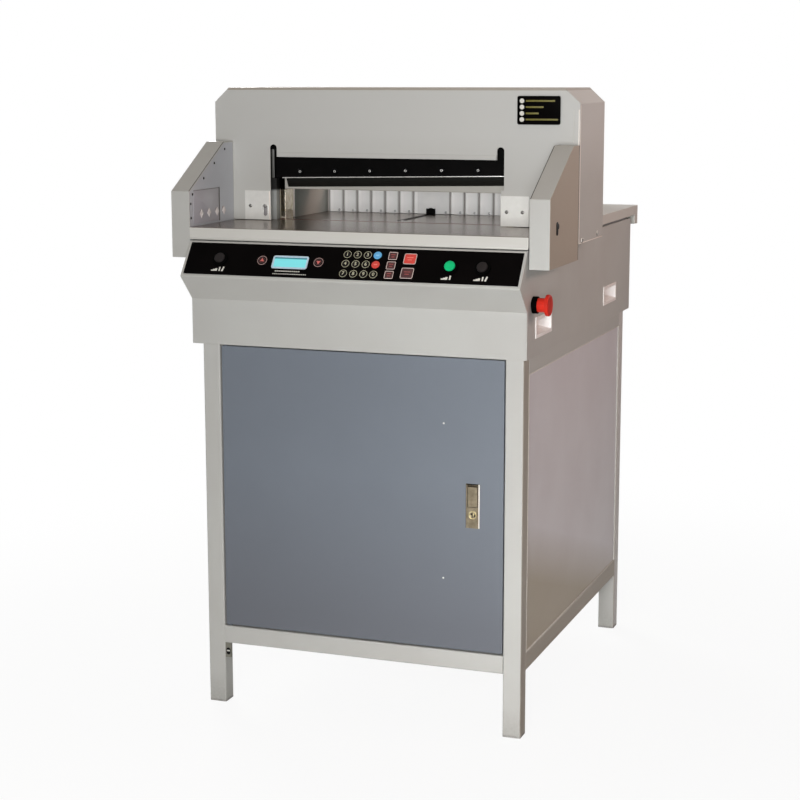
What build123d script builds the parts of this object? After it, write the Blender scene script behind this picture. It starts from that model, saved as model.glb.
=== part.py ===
from build123d import *
import math
import os

# Electric paper cutter on a cabinet stand: a programmable guillotine with a 450 mm cut.
# X runs to the operator's right, Y to the back and Z up, in millimetres.
# The origin is on the floor, midway between the nose of the panel and the rear table edge.

# Shared sizes
cut_width = 458.0         # length of the clamp bar, and the widest sheet
cut_middle = -10.5        # middle of the cut from the machine's middle
sheet = 2.0               # wall of the folded covers
bend = 3.0                # inner radius of a fold, at the middle of the sheet
slide_gap = 0.3           # between pieces that slide past each other
pin_gap = 0.1             # round a pin, rod or screw in its bore
fit_gap = 0.2             # round a fixed piece in its cut-out
pin_short = 1.0           # pin or screw end short of the face it runs to
over = 1.0                # overrun of a cut

# Stand of square tube
stand_side = 91.0         # stand past the cut on each side
stand_depth = 770.0
stand_height = 718.0
tube = 35.0
tube_wall = 2.0
tube_corner = 3.0
rail_base = 122.0         # floor to the lower rails
plug_cap = 4.0            # foot plug under the tube
plug_spigot = 20.0        # foot plug inside the tube
panel_inset = 3.0         # stand panels behind the face of the tubes
front_bar = 12.0          # thickness of the bar behind the door's head
tab_width = 12.0
tab_height = 30.0
tab_wall = 3.0
tab_hole = 2.6            # radius
tab_hole_drop = 22.0

# Cabinet door and its lock
door_wall = 1.5
door_depth = 16.0
door_recess = 2.0         # door face behind the face of the tubes
door_hinge_gap = 3.0
door_lock_gap = 2.0
door_foot_gap = 3.0
door_head_gap = 6.0
pivot_inset = 6.0         # pivot axis from the door's face and from its hinge edge
pivot_radius = 3.0
pivot_reach = 5.0         # pin into the rail and into the bed plate
pivot_collar = 5.5        # radius
lock_from_edge = 59.0     # lock's middle to the door's free edge
lock_height = 438.0       # floor to the lock's middle
lock_width = 27.0
lock_length = 84.0
lock_flange = 1.0
lock_lip = 1.5            # flange round the lock's body
lock_body = 14.0          # depth behind the door's face
paddle_width = 18.5
paddle_length = 40.0
paddle_wall = 3.0
paddle_rim = 1.0          # space round the paddle
paddle_barrel = 2.5       # radius
paddle_pin = 1.5          # radius
paddle_pin_length = 2.3
paddle_proud = 0.5
paddle_pocket = 9.0       # depth
cylinder_radius = 8.0
cylinder_drop = 17.0      # below the lock's middle
key_slot = 1.6
key_slot_length = 9.0
key_slot_depth = 6.0
cam_spindle = 4.0         # radius
cam_width = 12.0
cam_wall = 3.0
cam_length = 69.0
cam_gap = 0.5             # cam behind the legs' inner plane

# Body under the table
body_overhang = 11.0      # body past the stand on each side
apron_overhang = 21.0     # apron in front of the stand
nose_overhang = 47.0      # panel's nose in front of the apron
rear_overhang = 6.0       # rear panel behind the stand
crease_rise = 86.0        # bed plate's foot to the crease
nose_rise = 133.0
apron_head_gap = 1.0          # top edge of the sloping panel in front of the apron's face
body_height = 196.5
apron_flange = 16.0
bed_plate_wall = 5.0
frame_wall = 16.0         # bed frames
frame_from_side = 4.0     # bed frame to the side panel's inner face
frame_front_room = 66.0   # bed frame behind the apron's face
frame_rear_room = 11.0

# Table
table_side_overhang = 1.0
table_front_overhang = 2.0
table_gap = 4.5           # table's lip above the body
table_wall = 6.0
table_lip = 20.0          # depth of the edge
table_lip_wall = 3.0
table_split = 30.0        # joint of the two tables, in front of the head's back
hem_depth = 25.0          # rear hem, front to back
hem_height = 40.0
gauge_slot_width = 8.0
gauge_slot_end = 2.0      # room past the tongue at each end
stick_width = 12.0
stick_height = 4.0

# Hand grips in the sides
grip_width = 100.0
grip_height = 31.0
grip_rise = 52.2          # stand's top to the middle of the grips
grip_front_room = 107.5   # apron's face to the middle of the front grips
grip_rear_room = 182.0    # rear panel to the middle of the rear grips
grip_depth = 24.0
grip_wall = 2.0
grip_rim = 4.0
grip_rim_wall = 1.5
grip_floor_inset = 8.0    # each wall at the grip's floor, in from the cup's outline
grip_window = 7.0         # bed frame clear of the grip

# Control panel
overlay_top = 5.0         # down the slope from its top edge
overlay_foot = 5.9        # overlay to the slope's lower edge
overlay_side = 5.0        # overlay to the body's side
overlay_wall = 1.2
left_cut_inset = 73.5     # left cutting button to the body's side
clamp_button_gap = 60.8   # clamp button to the right cutting button
right_cut_inset = 75.5
button_radius = 10.0
button_height = 8.0       # cap above the panel sheet
button_depth = 10.0       # cap below the panel sheet
button_round = 1.5
button_travel = 4.0
spring_space = 8.0        # under a pressed cap
collar_radius = 15.0
collar_height = 4.0
collar_round = 1.0
barrel_radius = 11.2
barrel_floor = 6.0
lcd_from_button = 141.2   # display to the left cutting button
lcd_below_middle = 2.1    # down the slope
lcd_width = 68.0
lcd_height = 26.0
lcd_depth = 12.0
lcd_rim = 2.0
board_gap = 11.3          # control board to the switch barrels
board_margin = 12.2       # to both edges of the slope
board_wall = 1.6
standoff_radius = 3.0
standoff_inset = 6.0

# Emergency stop on the right side
stop_setback = 37.0       # behind the apron's face
stop_rise = 96.5
stop_collar = 15.5        # radius
stop_collar_height = 10.0
stop_bore = 13.3
stop_neck = 13.0
stop_neck_sunk = 3.0      # neck inside the collar
stop_head = 19.5          # radius
stop_head_start = 25.0    # from the side panel's face
stop_reach = 32.0
stop_round = 2.5
stop_travel = 4.5
stop_barrel = 11.0
stop_barrel_depth = 34.0
stop_stem = 8.0
stop_stem_depth = 18.0

# Mains inlet with its rocker switch, in the rear panel
inlet_inset = 101.0       # middle of the inlet to the body's side
inlet_rise = 57.0
inlet_width = 66.0
inlet_tall = 30.0
inlet_depth = 30.0
inlet_rim = 4.0
inlet_rim_wall = 2.0
socket_offset = 15.0
socket_width = 26.0
socket_tall = 17.0
socket_depth = 18.0
socket_pin_width = 2.0
socket_pin_tall = 5.0
socket_pin_length = 11.0
socket_pin_pitch = 7.0
rocker_offset = 18.0
rocker_well_width = 20.0
rocker_well_tall = 25.0
rocker_well_depth = 13.0
rocker_gap = 0.5
rocker_pivot = 4.0        # pivot behind the rim's face
rocker_half = 10.5
rocker_crest = 5.0
rocker_waist = 2.4
rocker_back = 3.0
rocker_axle = 1.0         # radius
axle_reach = 1.5          # axle into the wall of the well
rocker_tilt = 10.0        # degrees each way

# Power supply on the bed plate
supply_size = (140.0, 180.0, 78.0)
supply_inset = (41.0, 271.0)   # far corner, from the body's side and rear
supply_round = 3.0

# Head
head_overhang = 38.6      # head past the table on each side
head_front = 208.0
head_rear = 22.0
head_rise = 258.0         # all heights of the head are from the table top
skirt_drop = 29.0
head_corner_width = 30.0  # slanted corners of the hood
head_corner_height = 27.5
cover_gap = 1.0           # head covers above the table
mouth_left_room = 14.0    # mouth past the cut's left end
mouth_right_room = 1.1
mouth_rise = 124.5
slot_width = 14.0
slot_rise = 148.5
slot_right_inset = 7.0    # right slot inside the cut's right end
jog_rise = 68.0           # where the mouth widens to the right slot
lip_left_inset = 1.5
lip_right_inset = 7.5
lip_height = 8.5
lip_wall = 3.0
back_mouth_margin = 14.0
back_mouth_height = 72.0

# Side guards with the light curtain
guard_setback = 3.0       # guard behind the table's front edge
guard_drop = 58.0
knee_rise = 66.5
guard_rise = 154.0
guard_shoulder = 250.0
guard_table_gap = 1.0
latch_setback = 47.0      # slot in the guard's outer wall, behind the guard's front
latch_rise = 12.0         # table top to the slot's middle
latch_half = 9.5          # slot's middle to the centres of its ends
latch_radius = 2.4
lens_radius = 7.0
lens_proud = 0.6
lens_depth = 8.0
lens_rise = 23.0
lens_shares = (0.25, 0.405, 0.585, 0.75)

# Small cover plates beside the mouth, and dome screws
cheek_plate_wall = 1.5
cheek_plate_rise = 58.0
cheek_plate_width = 55.0
screw_radius = 3.5
screw_height = 1.8
screw_round = 1.2
cheek_screw_rise = 28.0
cheek_screw_inset = 12.0
skirt_screw_height = 0.8
skirt_screws = ((181.0, 23.5), (65.0, 19.0))
guard_screw_radius = 2.5
guard_screw_height = 0.6
guard_screw_drop = 14.0   # below the guard's top edge
guard_screw_shares = (0.2, 0.44, 0.68, 0.93)
guard_foot_screw = (6.0, 16.0)

# Cheeks and cross beam
guide_front = 178.0       # knife guide plates
guide_rear = 160.0
cheek_left_room = 14.5    # cheek past the cut's left end
cheek_right_room = 27.5
cheek_side_gap = 2.6
cheek_rise = 211.0        # heights are from the table top
web_wall = 18.0
web_rear = 40.0
foot_height = 12.0
foot_reach = 50.0
beam_rear = 100.0
beam_rise = 161.0
beam_gap = 2.0            # beam behind the guide plates
shelf_wall = 10.0
shelf_margin = 12.0       # shelf past the clamp motor

# Knife: swing cut, from tilted and raised to level on the cutting stick
knife_tilt = 1.3          # degrees
knife_side_shift = 20.0   # leftward travel during the cut
edge_rise = 62.9          # table top to the edge at the left pin
edge_to_stick = 0.3       # edge above the stick at the end of the cut
left_pin_room = 47.5      # left pin past the cut's left end
right_pin_room = 66.5
pin_above_edge = 50.0
left_pin_radius = 8.0
roller_radius = 9.0
right_pin_radius = 7.0
block_width = 22.0
block_length = 36.0
carrier_front = 200.0
carrier_gap = 2.0         # carrier in front of the guide plates
carrier_over_edge = 18.7
carrier_rise = 38.0       # carrier above the pins
carrier_end = 18.0        # carrier beyond each pin
carrier_round = 2.0
blade_rear = 172.0
blade_left = 55.0         # from the left pin
blade_right_inset = 43.0  # from the right pin
blade_height = 48.0
bevel_height = 16.0
edge_flat = 0.4
bolt_first = 94.0         # from the left pin
bolt_last = 113.0         # from the right pin
bolt_count = 6
bolt_above_edge = 31.5
bolt_radius = 4.0
bolt_head = 6.5
bolt_head_height = 4.0
bolt_socket = 3.0
bolt_socket_depth = 2.5
bolt_gap = 0.2

# Knife drive: a vertical screw with a nut block that carries the right pin
drive_room = 56.5         # drive screw past the cut's right end
screw_y = -133.0
screw_radius_drive = 8.0
nut_width = 54.0
nut_half_height = 20.0
nut_rear = 122.0
nut_slot_half = 19.0
nut_slot_rear = 145.0
drive_screw_drop = 67.0
drive_screw_over = 10.0
screw_collar = 12.0
collar_wall = 3.0
gearbox_left_reach = 35.0 # from the drive screw
gearbox_right_reach = 30.0
gearbox_front = 168.0
gearbox_rear = 98.0
gearbox_drop = 89.0
drive_motor_length = 140.0
motor_radius = 42.0
motor_drop = 57.0
motor_round = 4.0

# Clamp
clamp_front = 170.0
clamp_rear = 125.0
clamp_down_gap = 2.0      # above the table at the end of its travel
clamp_height = 31.0
clamp_round = 2.0
clamp_travel = 58.0
clamp_floor = 2.0
clamp_left_inset = 52.5   # clamp screw inside the cut's left end
clamp_right_inset = 45.5
clamp_screw_y = -147.0
clamp_nut_radius = 14.0
clamp_nut_height = 50.0
pulley_radius = 18.0
pulley_wall = 11.0
pulley_gap = 4.0          # above the cheeks
belt_wall = 3.0
belt_width = 9.0
clamp_motor_x = -7.0
clamp_motor_y = -63.0
clamp_motor_radius = 33.0
clamp_motor_length = 110.0
clamp_motor_shaft = 5.0
clamp_motor_pulley = 12.0
shaft_depth = 20.0
post_left_room = 12.5     # post past the cut's left end
post_front = 168.0
post_rear = 128.0
post_gap = 5.0            # below the cross beam

# Backgauge
gauge_inset = 6.0         # gauge's face in front of the tongue
gauge_plate = 15.0
gauge_left_gap = 4.5      # inside the cut's left end
gauge_right_gap = 1.5
gauge_rise = 64.0
gauge_lift = 0.6          # above the table
gauge_groove = 8.0
gauge_groove_depth = 4.0
gauge_pad = 23.0
gauge_middle_left = -38.0
gauge_middle_right = 34.0
gauge_bracket_half = 55.0
gauge_bracket_depth = 40.0
gauge_bracket_height = 14.0
gauge_x = -7.0
gauge_screw_drop = 34.0
gauge_screw_radius = 7.0
gauge_forward = 164.0     # travel from the place drawn
gauge_rear_room = 79.0    # rear bearing to the table's rear edge
tongue_width = 6.0
tongue_front = 51.0
tongue_rear = 95.0
wiper_front = 40.0
wiper_width = 19.0
wiper_height = 11.0
carriage_front = 50.0
carriage_length = 40.0
carriage_half = 55.0
carriage_drop = 55.0
guide_rod_offset = 43.0
guide_rod_radius = 6.0
gauge_bearing_wall = 14.0
gauge_bearing_half = 58.0
gauge_bearing_drop = 54.0
gauge_bearing_front = 168.0
gauge_bearing_room = 22.0 # behind the carriage at the end of its travel
gauge_motor_radius = 27.0
gauge_motor_length = 92.0
gauge_motor_shaft = 18.0

# Side guides on the table
side_guide_wall = 10.0
side_guide_front = 127.0
side_guide_inset = 33.0   # rear end to the table's rear edge
side_guide_height = 60.0
side_guide_round = 2.0
side_guide_gap = 1.5      # past the cut on each side

# Places that follow from the sizes above
cut_left = cut_middle - cut_width / 2
cut_right = cut_middle + cut_width / 2
stand_width = cut_width + 2 * stand_side
body_width = stand_width + 2 * body_overhang
table_width = body_width + 2 * table_side_overhang
head_width = table_width + 2 * head_overhang
body_front = stand_depth / 2 + apron_overhang
body_rear = stand_depth / 2 + rear_overhang
half_depth = body_front + nose_overhang
slope_top = body_front + apron_head_gap
table_front = body_front + table_front_overhang
guard_front = table_front - guard_setback
body_top = stand_height + body_height
nose_height = stand_height + nose_rise
crease_height = stand_height + crease_rise
grip_middle = stand_height + grip_rise
stop_place = (stop_setback - body_front, stand_height + stop_rise)
inlet_height = stand_height + inlet_rise
table_top = body_top + table_gap + table_lip
head_top = table_top + head_rise
head_skirt = table_top - skirt_drop
cover_base = table_top + cover_gap
mouth_top = table_top + mouth_rise
guard_top = table_top + guard_rise
guard_knee = table_top + knee_rise
cheek_top = table_top + cheek_rise
beam_base = table_top + beam_rise
edge_at_rest = table_top + edge_rise
pulley_base = cheek_top + pulley_gap
gauge_top = table_top + gauge_rise
gauge_screw_height = table_top - gauge_screw_drop
drive_screw_foot = table_top - drive_screw_drop
half_width = stand_width / 2
tube_mid = half_width - tube / 2
tube_inside = half_width - tube
front_mid = stand_depth / 2 - tube / 2
front_inside = stand_depth / 2 - tube
rail_top = rail_base + tube
upper_rail_base = stand_height - tube
side_face = body_width / 2
side_inner = side_face - sheet
grip_front = body_front - grip_front_room
grip_rear = body_rear - grip_rear_room
left_cut_x = left_cut_inset - side_face
right_cut_x = side_face - right_cut_inset
clamp_x = right_cut_x - clamp_button_gap
lcd_x = left_cut_x + lcd_from_button
board_left = -left_cut_x - barrel_radius - board_gap
board_right = clamp_x - barrel_radius - board_gap
inlet_x = inlet_inset - side_face
frame_face = side_inner - frame_from_side
frame_inner = frame_face - frame_wall
bed_top = stand_height + bed_plate_wall
half_table = table_width / 2
table_under = table_top - table_wall
half_head = head_width / 2
head_inner = half_head - sheet
guard_inner = half_table + guard_table_gap
slope_angle = math.atan2(body_top - nose_height, half_depth - slope_top)
slope_length = math.hypot(body_top - nose_height, half_depth - slope_top)
button_down = slope_length / 2
lcd_down = slope_length / 2 + lcd_below_middle
carrier_rear = guide_front + carrier_gap
mouth_left = cut_left - mouth_left_room
mouth_right = cut_right + mouth_right_room
slot_right = cut_right - slot_right_inset
lip_left = cut_left + lip_left_inset
lip_right = cut_right - lip_right_inset
cheek_inner_left = cut_left - cheek_left_room
cheek_inner_right = cut_right + cheek_right_room
left_pin_x = cut_left - left_pin_room
pin_span = cut_width + left_pin_room + right_pin_room
blade_right = pin_span - blade_right_inset
bolt_pitch = (pin_span - bolt_first - bolt_last) / (bolt_count - 1)
screw_x = cut_right + drive_room
gearbox_left = screw_x - gearbox_left_reach
gearbox_right = screw_x + gearbox_right_reach
clamp_screw_left = cut_left + clamp_left_inset
clamp_screw_right = cut_right - clamp_right_inset
post_left = cut_left - post_left_room
side_guide_rear = half_depth - side_guide_inset
left_guide_face = cut_left - side_guide_gap
right_guide_face = cut_right + side_guide_gap
gauge_front = tongue_front - gauge_inset
gauge_left = cut_left + gauge_left_gap
gauge_right = cut_right - gauge_right_gap
gauge_bearing_rear = half_depth - gauge_rear_room - gauge_bearing_wall
gauge_back = gauge_bearing_rear - gauge_bearing_room - carriage_front - carriage_length
pivot_x = -tube_inside + door_hinge_gap + pivot_inset
door_face = -stand_depth / 2 + door_recess
pivot_y = door_face + pivot_inset
lock_x = tube_inside - door_lock_gap - lock_from_edge
beam_front = guide_rear - beam_gap
barrel_depth = button_depth + button_travel + spring_space + barrel_floor
clamp_base = table_top + clamp_down_gap + clamp_travel
gauge_slot_front = gauge_forward - tongue_front + gauge_slot_end
gauge_slot_rear = tongue_rear + gauge_back + gauge_slot_end

# The knife's two ends of travel
cut_drop = edge_at_rest - table_top - edge_to_stick
left_pin_high = (left_pin_x, edge_at_rest + pin_above_edge)
left_pin_low = (left_pin_x - knife_side_shift, left_pin_high[1] - cut_drop)
tilt = math.radians(knife_tilt)
right_pin_high = (left_pin_x + pin_span * math.cos(tilt), left_pin_high[1] + pin_span * math.sin(tilt))
right_pin_low = (left_pin_low[0] + pin_span, left_pin_low[1])

turn = {"X": Rot(0, 90, 0), "Y": Rot(90, 0, 0), "Z": Rot(0, 0, 0)}
panel_frame = Plane(
    origin=(0, -slope_top, body_top),
    x_dir=(1, 0, 0),
    z_dir=(0, -math.sin(slope_angle), math.cos(slope_angle)),
)


def block(x, y, z):
    """A box between two values on each axis."""
    spans = (x, y, z)
    middle = [(low + high) / 2 for low, high in spans]
    return Pos(*middle) * Box(*[high - low for low, high in spans])


def bar(axis, span, centre, radius):
    """A round bar along an axis; centre holds its two other coordinates, in XYZ order."""
    middle = list(centre)
    middle.insert("XYZ".index(axis), (span[0] + span[1]) / 2)
    return Pos(*middle) * turn[axis] * Cylinder(radius, span[1] - span[0])


def prism(axis, points, span):
    """A solid with a straight-edged outline across an axis, between two values on it."""
    place = "XYZ".index(axis)
    corners = [list(point) for point in points]
    for corner in corners:
        corner.insert(place, span[0])
    face = make_face(Polyline(*[tuple(corner) for corner in corners], close=True))
    direction = [int(index == place) for index in range(3)]
    return extrude(face, amount=span[1] - span[0], dir=tuple(direction))


def square_tube(axis, span, centre):
    """A length of the stand's square tube."""
    middle = list(centre)
    middle.insert("XYZ".index(axis), (span[0] + span[1]) / 2)
    bore = tube - 2 * tube_wall
    section = RectangleRounded(tube, tube, tube_corner) - Rectangle(bore, bore)
    length = span[1] - span[0]
    return Pos(*middle) * turn[axis] * extrude(section, amount=length / 2, both=True)


def shifted(points, amount, closed=False):
    """An outline or a path moved to its left by an amount, with mitred corners."""
    count = len(points)
    moved = []
    for index, (across, up) in enumerate(points):
        normals = []
        for start in (index - 1, index):
            if closed or 0 <= start < count - 1:
                first, second = points[start % count], points[(start + 1) % count]
                run, rise = second[0] - first[0], second[1] - first[1]
                length = math.hypot(run, rise)
                normals.append((-rise / length, run / length))
        first, last = normals[0], normals[-1]
        shrink = 1 + first[0] * last[0] + first[1] * last[1]
        scale = amount * len(normals) / (2 * shrink) if len(normals) == 2 else amount / shrink
        moved.append((across + (first[0] + last[0]) * scale, up + (first[1] + last[1]) * scale))
    return moved


def folded(axis, points, span, wall=sheet):
    """A sheet folded along a path, with its outer face on the points and its wall on the right."""
    place = {"X": Plane.YZ, "Y": Plane.XZ}[axis]
    path = FilletPolyline(*shifted(points, -wall / 2), radius=bend)
    strip = place * trace(path, wall)
    direction = (1, 0, 0) if axis == "X" else (0, 1, 0)
    origin = Pos(span[0], 0, 0) if axis == "X" else Pos(0, span[0], 0)
    return origin * extrude(strip, amount=span[1] - span[0], dir=direction)


def mirrored(solid):
    """A solid and its mirror image on the other side of the machine."""
    return [solid, mirror(solid, about=Plane.YZ)]


def on_panel(x, down, rise=0):
    """A place on the sloping panel: across, down the slope and out of it."""
    return panel_frame.location * Pos(x, -down, rise)


def panel_bar(x, down, span, radius):
    """A round bar square to the sloping panel, between two heights above its sheet."""
    return on_panel(x, down, (span[0] + span[1]) / 2) * Cylinder(radius, span[1] - span[0])


def slot_between(high, low, width, margin, y):
    """A straight slot with square ends through an XZ plate, from one place to another."""
    run, rise = high[0] - low[0], high[1] - low[1]
    length = math.hypot(run, rise) + 2 * margin
    lean = math.degrees(math.atan2(run, rise))
    middle = ((high[0] + low[0]) / 2, (y[0] + y[1]) / 2, (high[1] + low[1]) / 2)
    return Pos(*middle) * Rot(0, lean, 0) * Box(width, y[1] - y[0], length)


def outer_edges(solid, axis, place):
    """The edges along an axis that pass the given place in the other two coordinates."""
    near = []
    for edge in solid.edges().filter_by(axis):
        centre = edge.center()
        values = {Axis.X: (centre.Y, centre.Z), Axis.Y: (centre.X, centre.Z), Axis.Z: (centre.X, centre.Y)}
        if all(abs(have - want) < slide_gap for have, want in zip(values[axis], place)):
            near.append(edge)
    return near


def make_stand():
    """Legs, rails, foot plugs and panels of the stand."""
    legs, plugs = [], []
    spigot = tube / 2 - tube_wall - fit_gap
    for x in (-tube_mid, tube_mid):
        for y in (-front_mid, front_mid):
            legs.append(square_tube("Z", (plug_cap, stand_height), (x, y)))
            cap = block((x - tube / 2, x + tube / 2), (y - tube / 2, y + tube / 2), (0, plug_cap))
            cap = fillet(cap.edges().filter_by(Axis.Z), tube_corner)
            spigot_z = (plug_cap, plug_cap + plug_spigot)
            cap += block((x - spigot, x + spigot), (y - spigot, y + spigot), spigot_z)
            plugs.append(cap)

    across = (-tube_inside, tube_inside)
    along = (-front_inside, front_inside)
    low_mid = rail_base + tube / 2
    high_mid = upper_rail_base + tube / 2
    front_rail = square_tube("X", across, (-front_mid, low_mid))
    pivot_hole = pivot_radius + pin_gap
    front_rail -= bar("Z", (rail_top - pivot_reach, rail_top + over), (pivot_x, pivot_y), pivot_hole)
    tab_front = -stand_depth / 2 + door_recess
    tab = block(
        (-tube_inside, -tube_inside + tab_width),
        (tab_front, tab_front + tab_wall),
        (rail_base - tab_height, rail_base),
    )
    tab -= bar(
        "Y",
        (tab_front - over, tab_front + tab_wall + over),
        (-tube_inside + tab_width / 2, rail_base - tab_hole_drop),
        tab_hole,
    )
    bar_front = door_face + door_depth + door_recess
    rails = [
        front_rail,
        tab,
        square_tube("X", across, (front_mid, low_mid)),
        square_tube("X", across, (front_mid, high_mid)),
        block(across, (bar_front, bar_front + front_bar), (upper_rail_base, stand_height)),
    ]
    for x in (-tube_mid, tube_mid):
        for z in (low_mid, high_mid):
            rails.append(square_tube("Y", along, (x, z)))

    panel_face = half_width - panel_inset
    rear_face = stand_depth / 2 - panel_inset
    side_panel = block((panel_face - sheet, panel_face), along, (rail_top, upper_rail_base))
    panels = mirrored(side_panel)
    panels.append(block(across, (rear_face - sheet, rear_face), (rail_top, upper_rail_base)))
    shelf = block((sheet - panel_face, panel_face - sheet), along, (rail_top, rail_top + sheet))
    return {
        "stand_legs": legs,
        "stand_rails": rails,
        "leg_plugs": plugs,
        "stand_panels": panels,
        "bottom_shelf": [shelf],
    }


def make_door():
    """Cabinet door with its pivot pins, and the flush lock in it."""
    left = -tube_inside + door_hinge_gap
    right = tube_inside - door_lock_gap
    foot = rail_top + door_foot_gap
    head = stand_height - door_head_gap
    back = door_face + door_depth
    door = block((left, right), (door_face, back), (foot, head))
    door -= block(
        (left + door_wall, right - door_wall),
        (door_face + door_wall, back + over),
        (foot + door_wall, head - door_wall),
    )
    body_half = lock_width / 2 - lock_lip
    body_low = lock_height - lock_length / 2 + lock_lip
    body_high = lock_height + lock_length / 2 - lock_lip
    door -= block(
        (lock_x - body_half, lock_x + body_half),
        (door_face - over, door_face + door_wall + over),
        (body_low, body_high),
    )
    pivot = (pivot_x, pivot_y)
    door += bar("Z", (rail_top - pivot_reach, foot + over), pivot, pivot_radius)
    door += bar("Z", (rail_top + slide_gap, foot), pivot, pivot_collar)
    door += bar("Z", (head - door_wall, stand_height + pivot_reach - pin_short), pivot, pivot_radius)

    flange_face = door_face - lock_flange
    body_back = door_face + lock_body
    case = block(
        (lock_x - lock_width / 2, lock_x + lock_width / 2),
        (flange_face, door_face),
        (lock_height - lock_length / 2, lock_height + lock_length / 2),
    )
    case += block((lock_x - body_half, lock_x + body_half), (door_face, body_back), (body_low, body_high))
    pocket_half = paddle_width / 2 + paddle_rim
    pocket_top = body_high - paddle_rim
    pocket_low = pocket_top - paddle_length - 2 * paddle_rim
    case -= block(
        (lock_x - pocket_half, lock_x + pocket_half),
        (flange_face - over, door_face + paddle_pocket),
        (pocket_low, pocket_top),
    )
    hinge_y = flange_face + paddle_wall
    hinge_z = pocket_top - paddle_rim - paddle_barrel - paddle_pin
    pin_half = paddle_width / 2 + paddle_pin_length
    case -= bar("X", (lock_x - pin_half, lock_x + pin_half), (hinge_y, hinge_z), paddle_pin + pin_gap)
    cylinder_z = lock_height - cylinder_drop
    cylinder_hole = cylinder_radius + pin_gap
    case -= bar("Y", (flange_face - over, body_back + over), (lock_x, cylinder_z), cylinder_hole)

    paddle_top = hinge_z + paddle_pin
    paddle = block(
        (lock_x - paddle_width / 2, lock_x + paddle_width / 2),
        (flange_face - paddle_proud, flange_face - paddle_proud + paddle_wall),
        (pocket_low + paddle_rim, paddle_top),
    )
    paddle_x = (lock_x - paddle_width / 2, lock_x + paddle_width / 2)
    paddle += bar("X", paddle_x, (hinge_y, hinge_z), paddle_barrel)
    pin_half -= slide_gap
    paddle += bar("X", (lock_x - pin_half, lock_x + pin_half), (hinge_y, hinge_z), paddle_pin)

    cam_face = cam_gap - front_inside
    cylinder = bar("Y", (flange_face, body_back), (lock_x, cylinder_z), cylinder_radius)
    cylinder += bar("Y", (body_back, cam_face + over), (lock_x, cylinder_z), cam_spindle)
    cylinder -= block(
        (lock_x - key_slot / 2, lock_x + key_slot / 2),
        (flange_face - over, flange_face + key_slot_depth),
        (cylinder_z - key_slot_length / 2, cylinder_z + key_slot_length / 2),
    )
    cylinder += block(
        (lock_x - cam_width / 2, lock_x + cam_width / 2),
        (cam_face, cam_face + cam_wall),
        (cylinder_z - cam_length, cylinder_z + cam_width / 2),
    )
    return {
        "cabinet_door": [door],
        "door_lock_case": [case],
        "lock_paddle": [paddle],
        "lock_cylinder": [cylinder],
    }


def side_outline():
    """Outline of the body's side, seen from the side: apron, nose, slope and top."""
    return [
        (-body_front, stand_height),
        (-body_front, crease_height),
        (-half_depth, nose_height),
        (-slope_top, body_top),
    ]


def grip_window_block(side, y, margin, x):
    """The space of one hand grip in a side wall, grown by a margin."""
    spans = sorted((side * x[0], side * x[1]))
    return block(
        spans,
        (y - grip_width / 2 - margin, y + grip_width / 2 + margin),
        (grip_middle - grip_height / 2 - margin, grip_middle + grip_height / 2 + margin),
    )


def make_grip(side, y):
    """A recessed hand grip whose inner walls lean in towards its floor."""
    mouth = side_face + grip_rim_wall
    cup = grip_window_block(side, y, -fit_gap, (side_face - grip_depth, side_face))
    cup += grip_window_block(side, y, grip_rim, (side_face, mouth))
    wide = Rectangle(grip_width - 2 * grip_wall, grip_height - 2 * grip_wall)
    narrow = Rectangle(grip_width - 2 * grip_floor_inset, grip_height - 2 * grip_floor_inset)
    floor = side_face - grip_depth + grip_wall
    hollow = loft([Plane.YZ.offset(floor) * narrow, Plane.YZ.offset(mouth + over) * wide])
    hollow = Pos(0, y, grip_middle) * hollow
    if side < 0:
        hollow = mirror(hollow, about=Plane.YZ)
    return cup - hollow


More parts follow.
